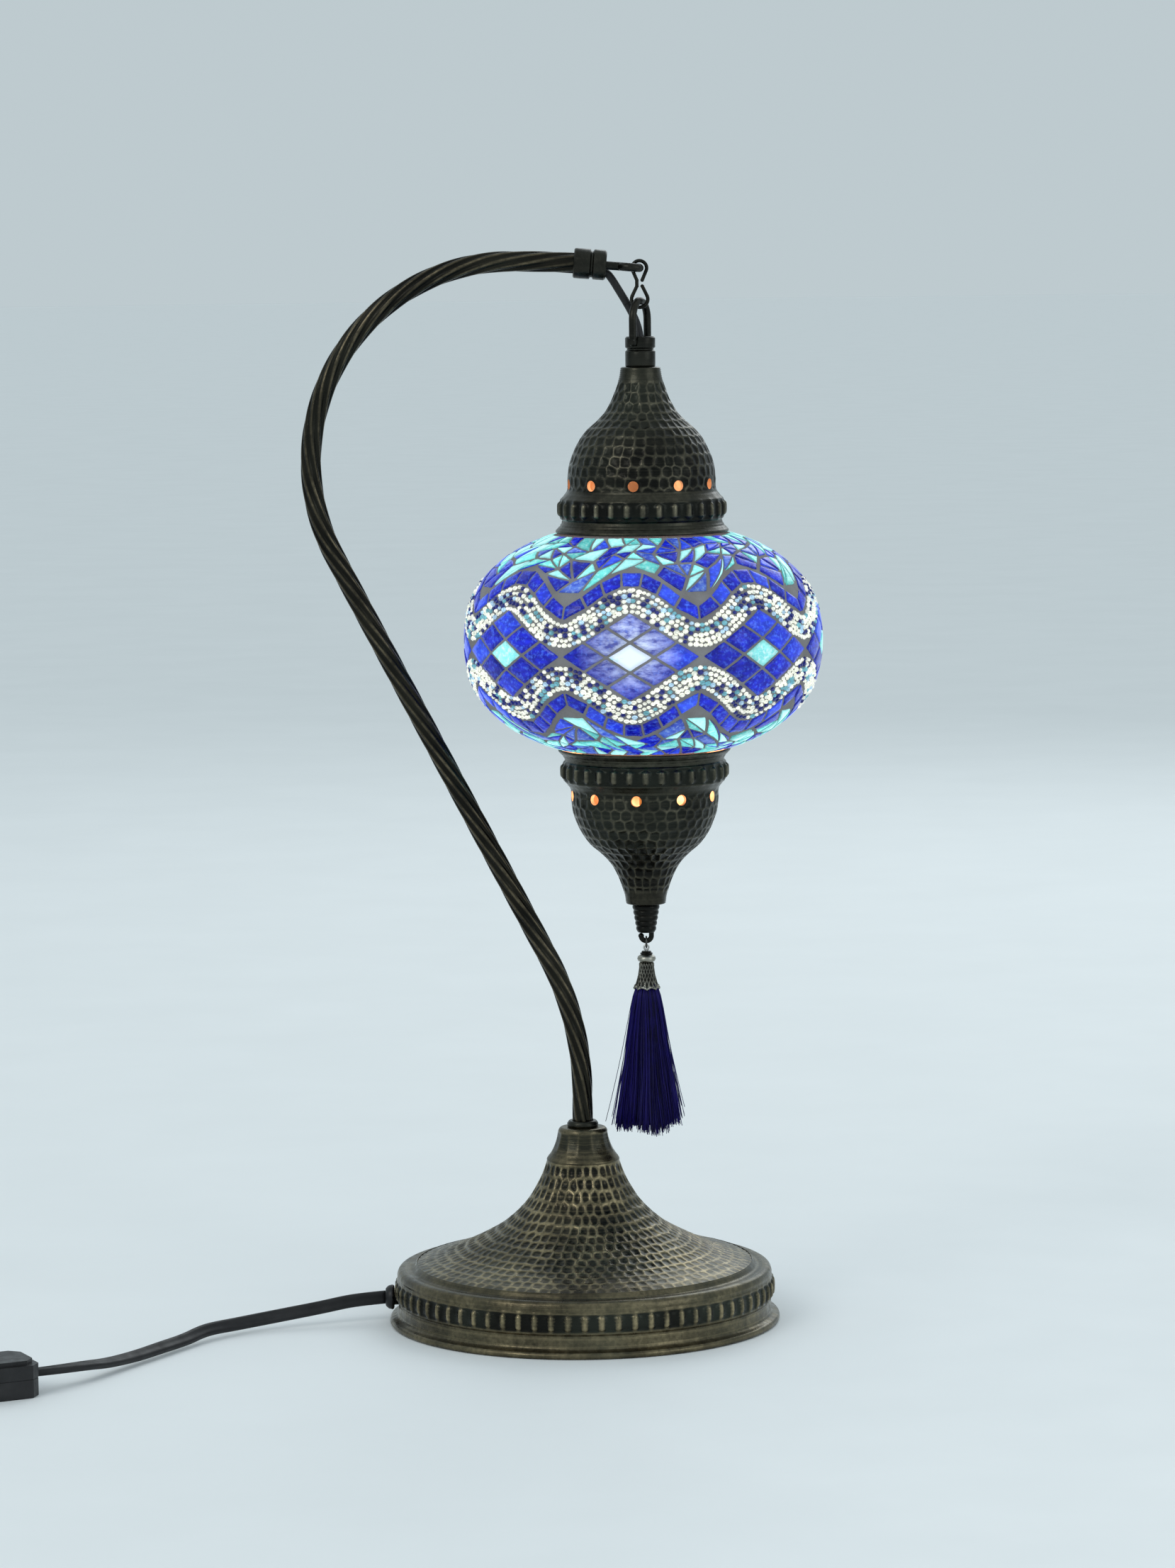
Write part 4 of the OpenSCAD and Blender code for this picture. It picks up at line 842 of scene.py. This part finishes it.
for node, name, material, slot in (
        ("diamond_tiles", "diamond_glass", cobalt, "cobalt_glass"),
        ("diamond_centres", "diamond_middles", centre, "turquoise_glass"),
        ("border_tiles", "border_glass", cobalt, "cobalt_glass"),
        ("cobalt_shards", "cobalt_pieces", cobalt, "cobalt_glass"),
        ("blue_shards", "blue_pieces", blue, "blue_glass"),
        ("turquoise_shards", "turquoise_pieces", turquoise, "turquoise_glass")):
    points, faces, inner, count = [], [], [], 0
    for corners in tile_corners(node):
        p, f, i = cut_tile(corners, count)
        points.append(p)
        faces += f
        inner += i
        count += len(p)
    piece(name, np.concatenate(points), faces, "pendant", material, [node], values={"inner": inner})


# ---------------------------------------------------------------- seed beads

REPEATS, BAND_TROUGH, BAND_RISE = 8, 9.3, 15.1
BEAD_OUT = -0.35
CREAM, NAVY, TEAL, SKY = (0.95, 0.96, 0.84), (0.010, 0.016, 0.16), (0.16, 0.42, 0.50), (0.45, 0.66, 0.85)


def band_point(az, off):
    """Point of a bead band at an azimuth from the front, off millimetres across the band."""
    mid = BAND_TROUGH + BAND_RISE * (1 + math.cos(az * REPEATS)) / 2
    slope = -BAND_RISE * math.sin(az * REPEATS) / 2 * REPEATS / GLOBE_R
    k = off / math.hypot(1, slope)
    return az - k * slope / GLOBE_R, mid + k


ball = [(0, 0, 1)] + [(math.sin(p) * math.cos(a), math.sin(p) * math.sin(a), math.cos(p))
                      for p in (0.75, 1.45, 2.1) for a in np.arange(8) * TAU / 8]
ball = np.array(ball)
ball_faces = [[0, 1 + i, 1 + (i + 1) % 8] for i in range(8)] + (1 + grid(3, 8)).tolist()


def bead_band(name, node, up):
    points, faces, tints, count = [], [], [], 0
    for row, off in enumerate((-4.4, -2.2, 0.0, 2.2, 4.4)):
        line = np.array([band_point(a, off) for a in np.linspace(0, TAU, 1600)])
        r = skin_radius(up * line[:, 1] - PATTERN_DROP)
        steps = np.hypot(np.diff(line[:, 0]) * r[1:], np.diff(line[:, 1]) * 1.1)
        along = np.concatenate([[0], np.cumsum(steps)])
        s = 0.0
        while s < along[-1] - 1.0:
            big = rng.random() < 0.45
            width = rng.uniform(2.1, 2.5) if big else rng.uniform(1.7, 2.1)
            a = float(np.interp(s + width / 2, along, line[:, 0]))
            h = float(np.interp(s + width / 2, along, line[:, 1])) + rng.uniform(-0.28, 0.28)
            s += width * rng.uniform(1.06, 1.3)

            def at(turn, out):
                return on_skin(np.array(FRONT_AZ + a + turn), np.array(up * h - PATTERN_DROP), np.array(out))
            mid = at(0, BEAD_OUT)
            out = at(0, BEAD_OUT + 1) - mid
            side = at(0.004, BEAD_OUT) - mid
            side /= np.linalg.norm(side)
            across = np.cross(out, side)
            half = width / 2 * (1.02 if big else 0.98)
            points.append(mid + half * (ball[:, :1] * side * 1.18 + ball[:, 1:2] * across * 0.98
                                        + ball[:, 2:] * out * 0.85))
            faces += [[count + i for i in f] for f in ball_faces]
            count += len(ball)
            patch = 0.55 + 0.25 * math.sin(a * 13 + row * 1.7) + (0.12 if row in (0, 4) else 0)
            chance = rng.random()
            if chance < patch:
                tone = CREAM
            elif rng.random() < 0.5:
                tone = NAVY
            else:
                tone = TEAL if chance < 0.85 else SKY
            tints += [np.array(tone) * rng.uniform(0.85, 1.1)] * len(ball)
    piece(name, np.concatenate(points), faces, "pendant", bead_paint.mat, [node],
          tints=np.array(tints))


bead_band("upper_beads", "upper_bead_band", 1)
bead_band("lower_beads", "lower_bead_band", -1)


# ---------------------------------------------------------------- tassel

CAP_LOW, SKIRT_LOW = 151.251, 85.2506


def tassel_cap_shape(s, r, z, az):
    leaf = (az * 8 / TAU) % 1 - 0.5
    level = z / 3.6
    arch = np.abs(np.abs(leaf) * 2 - (level % 1))
    arch = np.minimum(arch, np.abs(np.abs(leaf) * 2 - (1 - level % 1)))
    lattice = np.exp(-(arch / 0.11) ** 2)
    rim = math.exp(-((z - 0.4) / 0.5) ** 2)
    # The lattice and rim brighter, partly wear and partly painted highlight.
    return 0.5 * lattice - 0.3 + 0.45 * rim, np.clip(lattice * 0.9 + rim, 0, 1)


cap_outline = smooth_line([(5.0, 0.2), (5.5, 0.1), (5.3, 0.9), (4.5, 2.6), (3.8, 5.2), (3.3, 8.4),
                           (3.1, 10.8), (1.2, 11.1)], 8)
points, faces, wear_and_highlight = lathe(cap_outline, 128, 70, tassel_cap_shape, REACH, CAP_LOW)
around = np.arctan2(points[:, 1], points[:, 0] - REACH)
rise = points[:, 2] - CAP_LOW
points[:, 2] -= 0.9 * np.abs(np.cos(around * 4)) * (1 - ease(rise, 0, 3.5))
piece("tassel_filigree", points, faces, "tassel", silver, ["tassel_cap"],
      values={"wear_and_highlight": wear_and_highlight})

points, faces = [], []
THREADS, OUTER_THREADS, THREAD_ROWS = 1100, 200, 12
tri = circle(0.17, 3)
t = np.linspace(0, 1, THREAD_ROWS)
spread = 5.4 + 9.2 * t - 1.2 * (1 - t) ** 14
for k in range(THREADS):
    az0 = rng.uniform(0, TAU)
    depth = math.sqrt(rng.uniform(0.25, 1)) if k < THREADS - OUTER_THREADS else rng.uniform(0.95, 1.05)
    stray = rng.random() < 0.09
    flare = (rng.uniform(0.9, 1.03) if not stray else rng.uniform(1.05, 1.3)) * depth
    low = SKIRT_LOW + 3 + 2.2 * math.sin(az0 * 3.3 + depth) + rng.uniform(-1.2, 2.8)
    if stray:
        low += rng.uniform(0, 6)
    r = spread * (depth + (flare - depth) * t) + 0.35 * rng.normal() * t * t
    az_t = az0 + rng.normal() * 0.05 * t + 0.02 * np.sin(t * 7 + az0 * 5)
    z = CAP_LOW + 1.6 + (low - CAP_LOW - 1.6) * t
    path = np.stack([REACH + r * np.cos(az_t), r * np.sin(az_t), z], 1)
    p, f = sweep(path, tri, (math.cos(az0 + 1.57), math.sin(az0 + 1.57), 0.01))
    first = THREAD_ROWS * len(tri) * len(points)
    faces += [[first + i for i in face] for face in f]
    points.append(p)
piece("tassel_threads", np.concatenate(points), faces, "tassel", silk_paint.mat, ["tassel_skirt"])

core_line = [(0.1, SKIRT_LOW + 4), (11.0, SKIRT_LOW + 4.5), (9.6, SKIRT_LOW + 20), (7.0, SKIRT_LOW + 45),
             (4.0, CAP_LOW + 0.5)]


def core_shape(s, r, z, az):
    return 0.5 * np.sin(az * 30) * min(r / 8, 1), 0 * az


points, faces, wear_and_highlight = lathe(core_line, 90, 40, core_shape, REACH)
piece("tassel_core", points, faces, "tassel", silk_paint.mat, ["tassel_skirt"])


# ---------------------------------------------------------------- finishes of the CAD pieces

def finish_node(names, material, bevel):
    """Material, and softened edges where bevel is more than 0 mm, for pieces that keep their CAD shape."""
    for name in names:
        obj = nodes[name]
        obj.data.materials.clear()
        obj.data.materials.append(material)
        if bevel:
            weld = obj.modifiers.new("weld", "WELD")
            weld.merge_threshold = 0.00002
            soften = obj.modifiers.new("soften", "BEVEL")
            soften.width, soften.segments, soften.limit_method = bevel * MM, 2, "ANGLE"
            soften.angle_limit = math.radians(35)
            soften.harden_normals = True


finish_node(["stem_seat", "arm_collar", "ferrule", "finial"], fitting_metal, 0.25)
finish_node(["arm_eye", "hanging_link", "bail", "bail_rivets", "finial_hook"], fitting_metal, 0)
finish_node(["jump_ring"], ring_wire, 0)
finish_node(["head_pin"], pin_metal, 0)
finish_node(["tassel_disc"], polished, 0.12)
finish_node(["tassel_bead"], fitting_metal, 0.12)
finish_node(["cord_bush", "plug_body"], plastic, 0.5)
finish_node(["switch_tray", "switch_lid"], plastic, 0.7)
finish_node(["switch_rocker"], plastic, 0.4)
finish_node(["holder_cap"], plastic, 0.3)
finish_node(["plug_pins"], pin_metal, 0.2)
finish_node(["switch_screws", "base_plate", "stem_washer", "stem_nut", "neck_nut", "upper_plate",
             "lower_plate", "frame_rods", "tie_nut"], steel, 0.15)
finish_node(["nipple", "tie_stud"], contact, 0)
finish_node(["base_weight"], iron, 0.5)
finish_node(["felt_pad"], felt, 0.3)
finish_node(["base_lead", "arm_lead"], brown, 0)
finish_node(["holder_body"], porcelain, 0.4)
finish_node(["bulb_base"], contact, 0.2)
finish_node(["bulb_glass"], bulb_paint.mat, 0)
finish_node(["globe_glass"], clear, 0)
